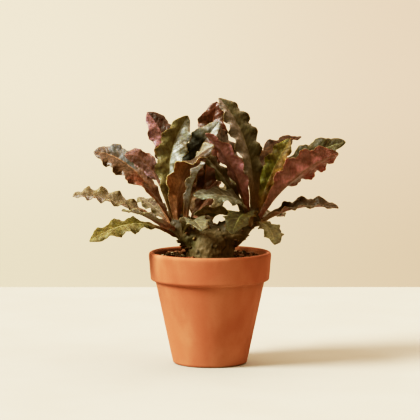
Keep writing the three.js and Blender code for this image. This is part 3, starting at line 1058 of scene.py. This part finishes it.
@dataclass
class Soil:
    """Potting mix: a lumpy bed with bark chips, pale grit and crumbs lying on it."""

    pot: Pot
    level: float = 104.0
    lump: float = 1.5
    seat: float = 0.3
    clear_of_stem: float = 25.0

    def top(self, x: Array, y: Array) -> Array:
        """Height of the bed: a broad swell and lumps, both products of a sine and a cosine.

        Args:
            x: places to the right of the axis.
            y: places behind it.

        Returns:
            The heights.
        """
        swell = np.sin(0.09 * x + 1.1) * np.cos(0.11 * y - 0.4)
        lumps = np.sin(0.46 * (x + 2 * np.sin(0.31 * y))) * np.cos(0.52 * (y + 1.6 * np.sin(0.27 * x)))
        return self.level + self.lump * (0.5 * swell + 0.7 * lumps)

    def bed(self, columns: int = 168, rows: int = 46) -> Piece:
        """The bed as rings: up the pot's inner wall, then inwards over the top with finer lumps.

        Args:
            columns: points round a ring.
            rows: rings of the top.

        Returns:
            The piece that stands for the soil.
        """
        corner, shoulder = self.pot.floor + self.pot.corner, self.level - 2 * self.lump
        edge = self.pot.inner_radius(shoulder) - 1.6 * self.seat
        a = circle(columns)[None]
        low = np.array([
            (self.pot.inner_radius(self.pot.floor) - self.pot.corner - self.seat, self.pot.floor + self.seat),
            (self.pot.inner_radius(corner) - 1.6 * self.seat, corner + self.seat),
            (edge, shoulder),
        ])
        r, z = low.T[:, :, None]
        top = turned((edge * np.linspace(1, 0.02, rows))[:, None], 0.0, a)
        fine = 0.45 * unevenness(top, 4.5, 11) + 0.25 * unevenness(top, 2.2, 12)
        top[..., 2] = self.top(top[..., 0], top[..., 1]) - 0.3 + fine
        points, faces = loft(np.concatenate([turned(r, z, a), top]))
        finish = Crumble("potting_mix", "2a1d15", "3d2b1f", 4.0, depth=0.7)
        mesh = new_mesh("soil_bed", points, faces)
        piece = new_piece("soil_bed", mesh, finish.material(), {})
        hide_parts("soil")
        return piece

    def strewn(
        self, name: str, finish: Crumble, count: int, size: tuple[float, float], form: Point, seed: int,
        square: float = 1.0,
    ) -> Piece:
        """Bits lying on the bed, all of one worn shape, turned and sized at random.

        The shape is a ball whose coordinates are raised to the power square and dented by noise.

        Args:
            name: the piece's name.
            finish: what the bits are made of.
            count: how many there are.
            size: least and greatest half length, in millimetres.
            form: the shape's proportions.
            seed: picks places and turns.
            square: below 1 the shape is blockier than a ball.

        Returns:
            The piece with all bits in one mesh.
        """
        draw = np.random.default_rng(seed)
        rows, columns = 4, 6
        lat = np.linspace(-1, 1, rows + 2)[1:-1] * math.pi / 2
        lon = circle(columns)
        level, rise = np.cos(lat)[:, None], np.sin(lat)[:, None]
        ball = np.stack([level * np.cos(lon), level * np.sin(lon), rise + 0 * lon], axis=-1)
        ball = np.sign(ball) * np.abs(ball) ** square * np.array(form)
        bit, bit_faces = loft(ball)
        inner, outer = self.clear_of_stem, self.pot.inner_radius(self.level) - 2.2
        r = np.sqrt(draw.uniform(inner**2, outer**2, count))
        a = draw.uniform(0, TURN, count)
        half = draw.uniform(*size, count)
        turn = self.turns(draw, count)
        dents = 1 + 0.22 * draw.normal(size=(count, len(bit), 1)).clip(-1.5, 1.5)
        shapes = np.einsum("nij,npj->npi", turn, bit * dents) * half[:, None, None]
        x, y = r * np.cos(a), r * np.sin(a)
        lift = self.top(x, y) + 0.25 * half
        places = np.stack([x, y, lift], axis=-1)[:, None]
        points, faces = joined([(shape, bit_faces) for shape in shapes + places])
        reach = np.hypot(points[:, 0], points[:, 1])
        shrink = np.minimum(1, (self.pot.inner_radius(self.level - 2) - 0.6) / np.maximum(reach, 1e-6))
        points[:, :2] *= shrink[:, None]
        return new_piece(name, new_mesh(name, points, faces), finish.material(), {})

    @staticmethod
    def turns(draw: np.random.Generator, count: int) -> Array:
        """Random turns: any way round +Z, then tilted by up to about half a right angle.

        Args:
            draw: where the angles come from.
            count: how many turns there are.

        Returns:
            A 3 by 3 matrix for each turn.
        """
        spin = draw.uniform(0, TURN, count)
        tilt, roll = draw.normal(0, 0.4, count), draw.normal(0, 0.4, count)
        no, one = np.zeros(count), np.ones(count)
        (cz, cx, cy), (sz, sx, sy) = (form([spin, tilt, roll]) for form in (np.cos, np.sin))
        about_z = np.array([[cz, -sz, no], [sz, cz, no], [no, no, one]])
        about_x = np.array([[one, no, no], [no, cx, -sx], [no, sx, cx]])
        about_y = np.array([[cy, no, sy], [no, one, no], [-sy, no, cy]])
        return np.einsum("ijn,jkn,kln->nil", about_x, about_y, about_z)

    def build(self) -> list[Piece]:
        """Makes the bed and what lies on it: crumbs, bark chips and grit.

        Returns:
            The pieces.
        """
        crumb = Crumble("soil_crumbs", "2f2118", "46311f", 2.0, depth=0.3)
        chip = Crumble("bark_chips", "5a3424", "7c5038", 2.5, 0.85, 0.3)
        grit = Crumble("pale_grit", "b4a88e", "d8cdb4", 1.8, 0.8, 0.2)
        return [
            self.bed(),
            self.strewn("soil_crumbs", crumb, 620, (0.7, 1.9), (1, 0.8, 0.7), 21),
            self.strewn("bark_chips", chip, 110, (1.8, 4.2), (1, 0.55, 0.32), 22, 0.6),
            self.strewn("pale_grit", grit, 110, (0.8, 1.8), (1, 0.85, 0.75), 23, 0.85),
        ]


# ---- Leaves ---------------------------------------------------------------------------------


@dataclass(frozen=True)
class Blade:
    """What all leaves share. A share counts along the leaf from root to tip, or across from rib to margin."""

    thickness: float = 1.1
    edge: float = 0.5
    rib: float = 2.1
    stalk: float = 2.4
    tip: float = 0.4
    widest: float = 0.62
    lean: float = 1.45
    taper: float = 1.0
    blunt: float = 0.58
    flat: float = 0.3
    reflex_start: float = 20.0
    slant: float = 0.85
    vein_step: float = 5.2
    ridge: float = 0.4
    ridge_width: float = 0.9
    stations: int = 120
    across: int = 41


@dataclass(frozen=True)
class Leaf:
    """One leaf: how it leaves its crown, where it ends, and how its blade turns, folds and ripples.

    Attributes:
        name: last part of its node's name.
        arm: the arm whose crown it grows from.
        root: where its stalk starts, from the crown's centre.
        aim, rise: direction in which it leaves, degrees round +Z from +X and above level.
        tip: where it ends.
        face: the way its underside looks when it stands upright, degrees round +Z from +X.
        width: widest measure across.
        fold: how far each half is raised from flat, degrees.
        waves, phase, ruffle: number, start and height of the ripples along each margin.
        finish: its skin.
        bow: first, straight pull of the rib's curve, as a share of root to tip.
        roll: turn of the blade about its rib, degrees.
        twist: further turn of its last part, degrees.
        reflex: how far the outer part of each half bends back again, degrees.
        crinkle: height of the finer ripples between the broad ones, as a share of these.
    """

    name: str
    arm: Arm
    root: Point
    aim: float
    rise: float
    tip: Point
    face: float
    width: float
    fold: float
    waves: float
    phase: float
    ruffle: float
    finish: LeafFinish
    bow: float = 0.5
    roll: float = 0.0
    twist: float = 0.0
    reflex: tuple[float, float] = (30, 30)
    crinkle: float = 0.14
    blade: Blade = Blade()

    @property
    def node(self) -> str:
        """Name of the CAD node that it stands for."""
        return f"leaf_{self.arm.name.lower()}_{self.name}"

    @property
    def length(self) -> float:
        """Straight way from root to tip."""
        return float(np.linalg.norm(np.array(self.tip) - np.array(self.root) - self.arm.value.crown))

    def rib(self, s: Array) -> tuple[Array, Array, Array]:
        """The rib's points, and the blade's side and upper directions at s.

        The rib is a quadratic curve from root to tip. The side is the level direction square to
        face, made square to the rib and turned about it by roll, eased in from s = 0.08 to 0.58,
        and by twist, eased in from 0.55 to 0.95.

        Args:
            s: places along the leaf, from 0 at the root to 1 at the tip.

        Returns:
            The three, each with a row for every place.
        """
        root, tip = np.array(self.root, dtype=float) + self.arm.value.crown, np.array(self.tip, dtype=float)
        knee = root + direction(self.aim, self.rise) * self.bow * self.length
        s = s[:, None]
        point = quadratic(root, knee, tip, s)
        along = unit(lerp(knee - root, tip - knee, s))
        level = direction(self.face + 90, 0)
        side = unit(level - along * (along @ level)[:, None])
        turn = math.radians(self.roll) * smoothstep(s, 0.08, 0.58)
        turn = turn + math.radians(self.twist) * smoothstep(s, 0.55, 0.95)
        side = side * np.cos(turn) + np.cross(along, side) * np.sin(turn)
        return point, side, np.cross(along, side)

    def half_width(self, s: Array) -> Array:
        """Half the width at s: a narrow stalk, opening to the widest place, closing to a blunt tip.

        The hump sin(pi s^lean), to the power taper on the way to the widest place and to the power
        blunt past it, leads from the stalk's half width to the blade's. Nothing is narrower than tip.

        Args:
            s: places along the leaf.

        Returns:
            The half widths.
        """
        b = self.blade
        swell = np.maximum(0, np.sin(math.pi * s**b.lean))
        blade = swell ** np.where(s < b.widest, b.taper, b.blunt)
        stalk = b.stalk * (1 - smoothstep(s, 0.75, 1))
        return np.maximum(b.tip, stalk * (1 - blade) + self.width / 2 * blade)

    def section(self, t: Array, reflex: Array) -> tuple[Array, Array]:
        """Out and up, as shares of the half width, at t from 0 to 1 across one half.

        Straight, at the fold's angle, over the blade's flat share, then an arc that bends back by
        reflex in all.

        Args:
            t: places across, from rib to margin.
            reflex: how far the half bends back, in radians.

        Returns:
            The two, by place.
        """
        fold, bend = math.radians(self.fold), reflex / (1 - self.blade.flat)
        flat = np.minimum(t, self.blade.flat)
        angle = fold - bend * (t - flat)
        out = flat * math.cos(fold) + (math.sin(fold) - np.sin(angle)) / bend
        return out, flat * math.sin(fold) + (np.cos(angle) - math.cos(fold)) / bend

    def middle(self, s: Array, t: Array) -> Array:
        """Points of the blade's middle surface, for s along it and t from -1 to 1 across.

        The section is carried along the rib. Margin ripples lift it by ruffle t^2 sin(turn), with
        turn growing by one circle a ripple, and finer ones of 2.6 and 4.3 times their rate lift
        its outer part. The margin goes in and out with them.

        Args:
            s: places along the leaf.
            t: places across it.

        Returns:
            The points, by row along and column across.
        """
        left = t[None] < 0
        s2, t2 = s[:, None], np.abs(t)[None]
        phase = np.where(left, 1.7 * self.phase + 2.1, self.phase)
        turn = TURN * self.waves * s2 + 0.7 * np.sin(5.3 * s2 + self.phase) + phase
        calm = smoothstep(s2, 0.22, 0.38) * lerp(1, 0.25, smoothstep(s2, 0.82, 1))
        strength = calm * t2**2
        outer = calm * smoothstep(t2, 0.45, 1.0)
        reflex = np.where(left, *np.radians(self.reflex))
        curl = lerp(math.radians(self.blade.reflex_start), reflex, smoothstep(s2, 0.3, 0.6))
        half = self.half_width(s)[:, None]
        out, up = self.section(t2, curl)
        fine = np.sin(2.6 * turn + 1.3 + 2 * self.phase) + 0.55 * np.sin(4.3 * turn + 0.4 + self.phase)
        scallop = 1 + 0.13 * strength * np.cos(turn) + 0.028 * outer * np.sin(3.4 * turn + 1.9)
        away = np.where(left, -1, 1) * out * half * scallop
        lift = up * half + self.ruffle * (strength * np.sin(turn) + self.crinkle * outer * fine)
        point, side, over = self.rib(s)
        return point[:, None] + side[:, None] * away[..., None] + over[:, None] * lift[..., None]

    def veins(self, s: Array, t: Array) -> Array:
        """Side veins, 1 on a vein and 0 between: narrow crests that leave the rib at a slant.

        A vein is the sixth power of a wave, vein_step from crest to crest along the rib, that lags
        behind with the way out from it.

        Args:
            s: places along the leaf.
            t: places across it.

        Returns:
            The value at each place.
        """
        reach = np.abs(t)[None] * self.half_width(s)[:, None]
        step = (s[:, None] * self.length - self.blade.slant * reach - 0.02 * reach**2) / self.blade.vein_step
        wobble = 0.22 * np.sin(2.1 * step + 3 * self.phase + np.where(t[None] < 0, 1.4, 0))
        crest = (0.5 + 0.5 * np.cos(TURN * (step + wobble))) ** 6
        return crest * smoothstep(s[:, None], 0.2, 0.4) * (1 - smoothstep(np.abs(t)[None], 0.75, 1))

    def skin(self, s: Array, t: Array, veins: Array) -> Array:
        """Both faces: half a thickness from the middle, with thin margins, and the rib below.

        The upper face has a fine ridge along the rib and sinks along the veins, which stand out
        below. Both are a little uneven.

        Args:
            s: places along the leaf.
            t: places across it.
            veins: the side veins there.

        Returns:
            Rings of points: back across the upper face, then across the under face.
        """
        b, middle = self.blade, self.middle(s, t)
        normal = unit(np.cross(np.gradient(middle, axis=0), np.gradient(middle, axis=1)))
        s2, t2 = s[:, None], np.abs(t)[None]
        thick = lerp(b.thickness, b.edge, smoothstep(t2, 0.7, 1)) / 2 + 0 * s2
        keel = b.rib * (1 - s2) ** 1.2 * (1 - t2) ** 2
        ridge = b.ridge * np.exp(-((t2 * self.half_width(s)[:, None] / b.ridge_width) ** 2)) * (1 - 0.6 * s2)
        sunk = 0.15 * veins + 0.26 * unevenness(middle, 9, 31) + 0.12 * unevenness(middle, 4, 32)
        upper = middle + normal * (thick + ridge - sunk)[..., None]
        lower = middle - normal * (thick + keel + 0.8 * sunk)[..., None]
        return np.concatenate([upper[:, ::-1], lower], axis=1)

    @staticmethod
    def faces(rows: int, around: int) -> Faces:
        """Quads from ring to ring, and strips that close root and tip.

        Args:
            rows: how many rings there are.
            around: points in each, half of them on the upper face.

        Returns:
            The faces.
        """
        c = np.arange(around // 2 - 1)
        root = np.stack([c, around - 1 - c, around - 2 - c, c + 1], axis=-1)
        tip = np.stack([c, c + 1, around - 2 - c, around - 1 - c], axis=-1) + (rows - 1) * around
        return np.concatenate([ring_quads(rows, around), root, tip]).tolist()

    def marks(self, s: Array, t: Array, veins: Array) -> dict[str, Array]:
        """What the finish reads at each point, for both faces in the order of skin.

        Args:
            s: places along the leaf.
            t: places across it.
            veins: the side veins there.

        Returns:
            The values of each mark.
        """
        reach = np.abs(t)[None] * self.half_width(s)[:, None]
        out, up = np.sign(t)[None] * (reach + 9), s[:, None] * self.length - self.blade.slant * reach
        values = {
            "grain": np.stack([out, up, 0 * reach], axis=-1) * MM,
            "side": t[None] + 0 * reach,
            "along": s[:, None] + 0 * reach,
            "vein": veins,
        }
        marks = {name: np.concatenate([value[:, ::-1], value], axis=1) for name, value in values.items()}
        marks["under"] = np.concatenate([np.zeros_like(veins), np.ones_like(veins)], axis=1)
        return marks

    def build(self) -> Piece:
        """Makes the leaf, with its stations closer together towards the tip.

        Returns:
            The piece that stands for the leaf's node.
        """
        s = 1 - (1 - np.linspace(0, 1, self.blade.stations)) ** 1.2
        t = np.linspace(-1, 1, self.blade.across)
        veins = self.veins(s, t)
        rings = self.skin(s, t, veins)
        mesh = new_mesh(f"{self.node}_blade", rings.reshape(-1, 3), self.faces(*rings.shape[:2]))
        material = self.finish.material(self.node)
        piece = new_piece(mesh.name, mesh, material, self.marks(s, t, veins))
        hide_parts(self.node)
        return piece


L, R, B = Arm.LEFT, Arm.RIGHT, Arm.BACK
LEAVES = (
    # Painted sheen: the silver-grey upper colour of the half at side -1, kept to the outer part by inner.
    Leaf("far_high", L, (-8, 3, -2), 167, 64, (-114, 16, 207), 165, 31, 14, 6, 0.3, 2.4,
         replace(BRONZE, upper=("787e86", "624638"), patch="563f34", rib="b48e72", patches=0.4,
                 inner=("b08c84", "94584c"), inner_end=(0.45, 0.58), gloss=0.4, wax=0.4, stalk="9c7058"),
         bow=0.73, roll=-46),
    Leaf("red", L, (-6, 6, -2), 164, 75, (-83, -6, 205), 150, 18, 30, 4.5, 1.9, 2,
         replace(RED, under=("ccaab8", "9a7a80"), under_patch="946860", patches=0.3), bow=0.9, roll=112),
    Leaf("back_tall", L, (-2, 7, 0), 79, 78, (-62, 37, 245), 100, 30, 18, 5, 0.9, 2,
         replace(MAROON, upper=("401b18", "9a727c"), patch="5e322c", rib="5a3028", patches=0.3),
         bow=0.61),
    # Painted sheen: the near-white upper colour of the half at side -1.
    Leaf("upright", L, (-5, 0, 0), 172, 74, (-22, 6, 243), 106, 30, 26, 6, 2.6, 2.6,
         replace(OLIVE, upper=("b2b8b6", "8e8766"), patch="54401e", patches=0.5, rib="b8b69a",
                 gloss=0.34), bow=0.62, reflex=(25, 25), roll=-26, twist=26),
    # The under face's orange-brown is partly the leaf's own colour and partly painted light shining through
    # the leaf.
    Leaf("front_brown", L, (-3, -6, 0), -172, 80, (4, -27, 216), -66, 32, 16, 5.5, 1.2, 3,
         replace(BRONZE, upper=("4a362c", "90887a"), patch="6c5432", under=("a87250", "d2a28e"),
                 under_patch="6a4020", margin="cab68c", edge=0.9, gloss=0.46),
         bow=0.62, twist=76, reflex=(45, 30)),
    # Painted sheen: the pale blue-grey colours of both faces.
    Leaf("front_narrow", L, (4, -6, 0), -60, 84, (-5, -56, 201), -22, 14, 40, 5, 0.2, 1.6,
         replace(SAGE, under=("d4dcee", "d0d4dc"), under_patch="8a7a68", upper=("a4a8b0", "9c9c9c"),
                 gloss=0.3), bow=0.62, roll=4, reflex=(20, 20)),
    # Painted sheen: the pale silver upper colour near the tip of the half at side -1. Painted shade: the
    # near-black inner colour of the half at side +1.
    Leaf("inner_dark", L, (5, 5, 0), 120, 77, (9, 16, 236), 66, 32, 24, 5.5, 3.3, 2.6,
         replace(OLIVE, upper=("b8bcc0", "8e8e8a"), patch="4a4238", patches=0.1, rib="4a443a",
                 inner=("6c4a46", "0c0806"), inner_end=(0.78, 0.87), gloss=0.5, wax=0.15), bow=0.56),
    Leaf("low_outer", L, (-8, -1, -5), 179, 34, (-134, -8, 165), 178, 25, 30, 7, 0.6, 2.6,
         replace(BRONZE, upper=("847868", "7a7474"), patch="766a4a", under=("a8745a", "a8745a"),
                 stalk="a8786a"), bow=0.66, roll=-24),
    Leaf("back_low", L, (-5, 7, -5), 125, 32, (-71, 66, 157), 125, 22, 20, 4, 2.2, 2.4,
         replace(SAGE, upper=("402e24", "6c644c"), patch="605a42", stalk="8c5a48")),
    Leaf("under", L, (-6, -8, -2), -150, 34, (-85, -40, 154), -150, 16, 22, 4, 0.4, 2.4,
         replace(SAGE, under=("c8c4c6", "c8c4c6"), under_patch="a08c7c", stalk="a07468")),
    Leaf("yellowing", L, (-6, -4, -8), -165, 33, (-116, -36, 124), -163, 28, 5, 4.5, 2.9, 2.4,
         replace(YELLOW, upper=("5e5422", "807858"), patch="5c5622", rib="a8a080", stalk="7c5038",
                 gloss=0.56, wax=0.2), bow=0.53, roll=-24, reflex=(20, 20)),
    Leaf("front_low", L, (2, -8, -6), -72, 42, (-8, -84, 139), -66, 26, 22, 4, 1.1, 2,
         replace(SAGE, upper=("626456", "6c6c5e"), under=("949082", "9ca490"), patch="646448",
                 stalk="645a3a", patches=0.35)),
    Leaf("inner_low", L, (7, 2, -2), 30, 56, (10, 20, 178), 38, 23, 18, 4, 1.5, 2.4,
         replace(MAROON, upper=("96665a", "784432"), rib="b88070", stalk="a07060")),
    Leaf("broad_red", R, (6, -3, -1), -22, 55, (124, -26, 208), -12, 39, 33, 6.5, 0.8, 2.4,
         replace(RED, upper=("6c6440", "6c6440"), under=("a86e70", "9c4642"), under_patch="8e5e54",
                 patches=0.3), bow=0.59, roll=-52, reflex=(60, 20)),
    Leaf("broad_green", R, (7, 2, -2), 26, 65, (133, 14, 217), 0, 28, 20, 6, 1.7, 2.2,
         replace(OLIVE, upper=("48422e", "3c301e"), patch="3e3622", gloss=0.5, wax=0.2),
         bow=0.58, roll=50),
    Leaf("tallest", R, (1, -2, 0), -50, 84, (9, 12, 260), 122, 30, 24, 7, 1.9, 2.6,
         replace(OLIVE, upper=("504a36", "827a78"), patch="443820", rib="94907a", margin="6e563c",
                 stalk="745c44", patches=0.3), bow=0.62),
    Leaf("front_pink", R, (-4, -3, 0), -128, 80, (-4, -30, 228), -128, 25, 18, 5.5, 0.2, 2,
         replace(RED, under=("a87e88", "aa7680"), under_rib="c08a90", under_patch="8c605a",
                 patches=0.35), bow=0.55),
    Leaf("olive", R, (4, 3, 0), 12, 74, (79, 10, 220), 62, 24, 24, 5.5, 2.4, 2.2,
         replace(YELLOW, upper=("74541e", "5c5a16"), patch="5a4a1e", rib="a29c56", patches=0.35,
                 stalk="a88858", gloss=0.5, wax=0.2)),
    Leaf("back_tall", R, (1, 8, 0), 75, 84, (91, 56, 219), 60, 25, 20, 6, 0.1, 2.8,
         replace(MAROON, upper=("3c1a12", "30120a"), rib="4c2e22", margin="5c3a2c", gloss=0.55,
                 wax=0.15), bow=0.7),
    Leaf("low_outer", R, (5, -1, -7), -4, 37, (125, -14, 154), -4, 21, 36, 5.5, 5.7, 2.2,
         replace(BRONZE, upper=("44322a", "4c3830"), patch="342818", under=("8c5248", "8c5248"),
                 stalk="8e705a", wax=0.2), roll=24),
    Leaf("back_low", R, (5, 3, -7), 52, 20, (70, 58, 139), 52, 19, 22, 4, 2, 2.4, RED),
    Leaf("front_drooping", R, (3, -5, -5), -56, 8, (62, -54, 123), -56, 23, 20, 4, 0.7, 2.2,
         replace(OLIVE, upper=("7c7a56", "5c5438"), patch="5a4a30", patches=0.4, rib="a4a47a")),
    Leaf("front_low", R, (-1, -9, -7), -108, 50, (21, -75, 135), -100, 29, 20, 4, 2.7, 1.8,
         replace(OLIVE, upper=("38341c", "3c3218"), patch="2a2410", rib="787a52", gloss=0.5, wax=0.2)),
    Leaf("front_sage", R, (-5, -9, -1), -75, 76, (-16, -34, 168), -160, 22, 16, 5, 0.9, 2,
         replace(SAGE, upper=("64625a", "848a80"), patch="625c4c", rib="ccccbe", patches=0.3, vein=0.3),
         bow=0.47, roll=-36),
    Leaf("inner_green", R, (-6, -1, -1), 176, 66, (-7, -8, 207), 148, 22, 20, 4, 1.6, 2.2,
         replace(OLIVE, upper=("503e2c", "58583c"), patch="4e4630", rib="9a9c78", stalk="8c8060")),
    Leaf("inner_low", R, (-7, 0, -5), 178, 34, (-16, -15, 148), 182, 16, 20, 4, 0.5, 1.6, OLIVE,
         roll=40),
    Leaf("inner_maroon", R, (-3, 6, 0), 140, 76, (4, 29, 233), 140, 25, 20, 5.5, 2.9, 2.4,
         replace(MAROON, upper=("401810", "401a12"))),
    Leaf("back_mid", R, (4, 7, -2), 48, 44, (81, 66, 189), 42, 23, 20, 4, 1.1, 2.4, BRONZE),
    Leaf("tall", B, (0, 4, 0), 100, 86, (7, 42, 255), 80, 34, 20, 6, 0.4, 2.4,
         replace(MAROON, upper=("683832", "643830"), rib="9c6448")),
    Leaf("left", B, (-4, 4, -2), 118, 55, (-32, 77, 178), 118, 24, 20, 4, 1.3, 2.6, BRONZE),
    Leaf("right", B, (4, 4, -2), 58, 56, (45, 79, 182), 62, 22, 20, 4, 2.2, 2.6, OLIVE),
    Leaf("low", B, (0, 6, -4), 92, 28, (-4, 82, 146), 92, 22, 22, 4, 0.8, 2.4, BRONZE),
)


# ---- Studio ---------------------------------------------------------------------------------


@dataclass
class Studio:
    """Pale table, cream surroundings, one key light from the left, and the camera."""

    table_half: float = 577.0
    paper: tuple[str, str] = ("a19e96", "9d9990")
    eye: Point = (0.0, -2200.0, 360.0)
    target: Point = (0.0, 0.0, 151.0)
    lens: float = 193.1
    key_aim: float = 200.0
    key_rise: float = 38.0
    key_angle: float = 24.0
    key_strength: float = 9.1
    key_colour: Point = (0.95, 1.0, 0.90)
    film: tuple[tuple[float, float], ...] = (
        (0.02, 0.0095), (0.05, 0.0297), (0.1, 0.0707), (0.2, 0.168), (0.4, 0.4), (0.6, 0.57), (0.8, 0.69),
        (1.0, 0.78), (1.3, 0.87), (2.0, 0.96),
    )
    film_white: float = 3.0
    green_toe: tuple[tuple[float, float], ...] = (
        (0.005, 0.0038), (0.012, 0.0103), (0.025, 0.023), (0.06, 0.058), (0.2, 0.2), (0.5, 0.5),
    )
    blue_toe: tuple[tuple[float, float], ...] = (
        (0.004, 0.0008), (0.008, 0.0035), (0.012, 0.0062), (0.02, 0.0125), (0.035, 0.026), (0.06, 0.053),
        (0.1, 0.097), (0.2, 0.2), (0.5, 0.5),
    )

    def table(self) -> Piece:
        """Square table top with thin sides, its surface at the pot's foot.

        Returns:
            The table top.
        """
        h = self.table_half
        rings = np.array([[(-h, -h, z), (h, -h, z), (h, h, z), (-h, h, z)] for z in (-12.0, -0.02)])
        points, faces = loft(rings)
        mesh = new_mesh("table_top", points, faces)
        mesh.polygons.foreach_set("use_smooth", np.zeros(len(mesh.polygons), dtype=bool))
        mix = Recipe("table_paper", 0.9, 0.2)
        colour = mix.blend(mix.ease(mix.noise(120, 2), 0.35, 0.65, 0.0, 0.5), *self.paper)
        mesh.materials.append(mix.finish(colour))
        top = placed("table_top", mesh)
        return top

    def surroundings(self) -> None:
        """World: a cream backdrop for the eye, with painted light and shade on it, and warm light, stronger
        from above, for the rest.
        """
        world = bpy.data.worlds.new("surroundings")
        bpy.context.scene.world = world
        mix = Wiring(world)
        way = mix.node("ShaderNodeSeparateXYZ")
        mix.feed(way.inputs[0], mix.node("ShaderNodeTexCoord").outputs["Generated"])

        def band(axis: str, low: float, high: float, first: Point, last: Point) -> Socket:
            """Colour eased from first to last, between low and high along an axis of the view."""
            return mix.blend(mix.ease(way.outputs[axis], low, high), (*first, 1.0), (*last, 1.0))

        # Painted light: the backdrop is brighter and warmer at the left, towards the key light, and darker at
        # the right.
        wall = band("X", -0.10, 0.12, (1.26, 1.05, 0.74), (1.04, 0.76, 0.53))
        # Painted shade: the backdrop darkens towards its foot.
        foot = band("Z", -0.125, -0.03, (0.86, 0.86, 0.82), (1.0, 1.0, 1.0))
        above = band("Z", 0.0, 1.0, (0.1, 0.08, 0.06), (3.3, 2.5, 1.85))
        behind = band("Y", -1.0, 1.0, (0.4, 0.4, 0.4), (1.25, 1.25, 1.25))
        right = band("X", -1.0, 1.0, (0.86, 0.86, 0.86), (1.18, 1.2, 1.24))
        light = mix.blend(1.0, mix.blend(1.0, above, behind, "MULTIPLY"), right, "MULTIPLY")
        seen = mix.blend(1.0, wall, foot, "MULTIPLY")
        picked = mix.blend(mix.node("ShaderNodeLightPath").outputs["Is Camera Ray"], light, seen)
        glow, out = mix.node("ShaderNodeBackground"), mix.node("ShaderNodeOutputWorld")
        mix.feed(glow.inputs["Color"], picked)
        mix.feed(out.inputs["Surface"], glow.outputs[0])

    def lights(self) -> None:
        """The key light: a broad far source at the left and a little in front."""
        key = bpy.data.lights.new("key", "SUN")
        key.energy, key.color, key.angle = self.key_strength, self.key_colour, math.radians(self.key_angle)
        towards = Vector(direction(self.key_aim, self.key_rise))
        placed("key", key).rotation_euler = towards.to_track_quat("Z", "Y").to_euler()

    def camera(self) -> None:
        """The photograph's view: a long lens from the front, a little above the rim."""
        lens = bpy.data.cameras.new("eye")
        lens.lens, lens.sensor_width, lens.sensor_fit = self.lens, 36.0, "HORIZONTAL"
        lens.clip_start, lens.clip_end = 0.05, 50.0
        eye = placed("eye", lens)
        eye.location = Vector(self.eye) * MM
        eye.rotation_euler = (Vector(self.eye) - Vector(self.target)).to_track_quat("Z", "Y").to_euler()
        bpy.context.scene.camera = eye

    def response(self) -> None:
        """The picture's response to light: a soft toe, a long shoulder, and warm blacks.

        The film curve is for all three colours. The darks then lose a little green and more blue.
        """
        view = bpy.context.scene.view_settings
        view.view_transform, view.use_curve_mapping = "Standard", True
        view.curve_mapping.white_level = (self.film_white,) * 3
        film = [(light / self.film_white, shown) for light, shown in self.film]
        for curve, bends in ((3, film), (1, self.green_toe), (2, self.blue_toe)):
            for light, shown in bends:
                view.curve_mapping.curves[curve].points.new(light, shown).handle_type = "AUTO_CLAMPED"
        view.curve_mapping.update()

    def build(self) -> None:
        """Sets up all of it."""
        self.table()
        self.surroundings()
        self.lights()
        self.camera()
        self.response()


def main() -> None:
    """Builds the studio, the pot, the soil, the stem and the leaves."""
    logging.basicConfig(level=logging.INFO, format="%(message)s")
    Studio().build()
    pot = Pot()
    pot.build()
    Soil(pot).build()
    stem = Stem()
    stem.skin()
    stem.stubs()
    for leaf in LEAVES:
        leaf.build()


if __name__ == "__main__":
    main()
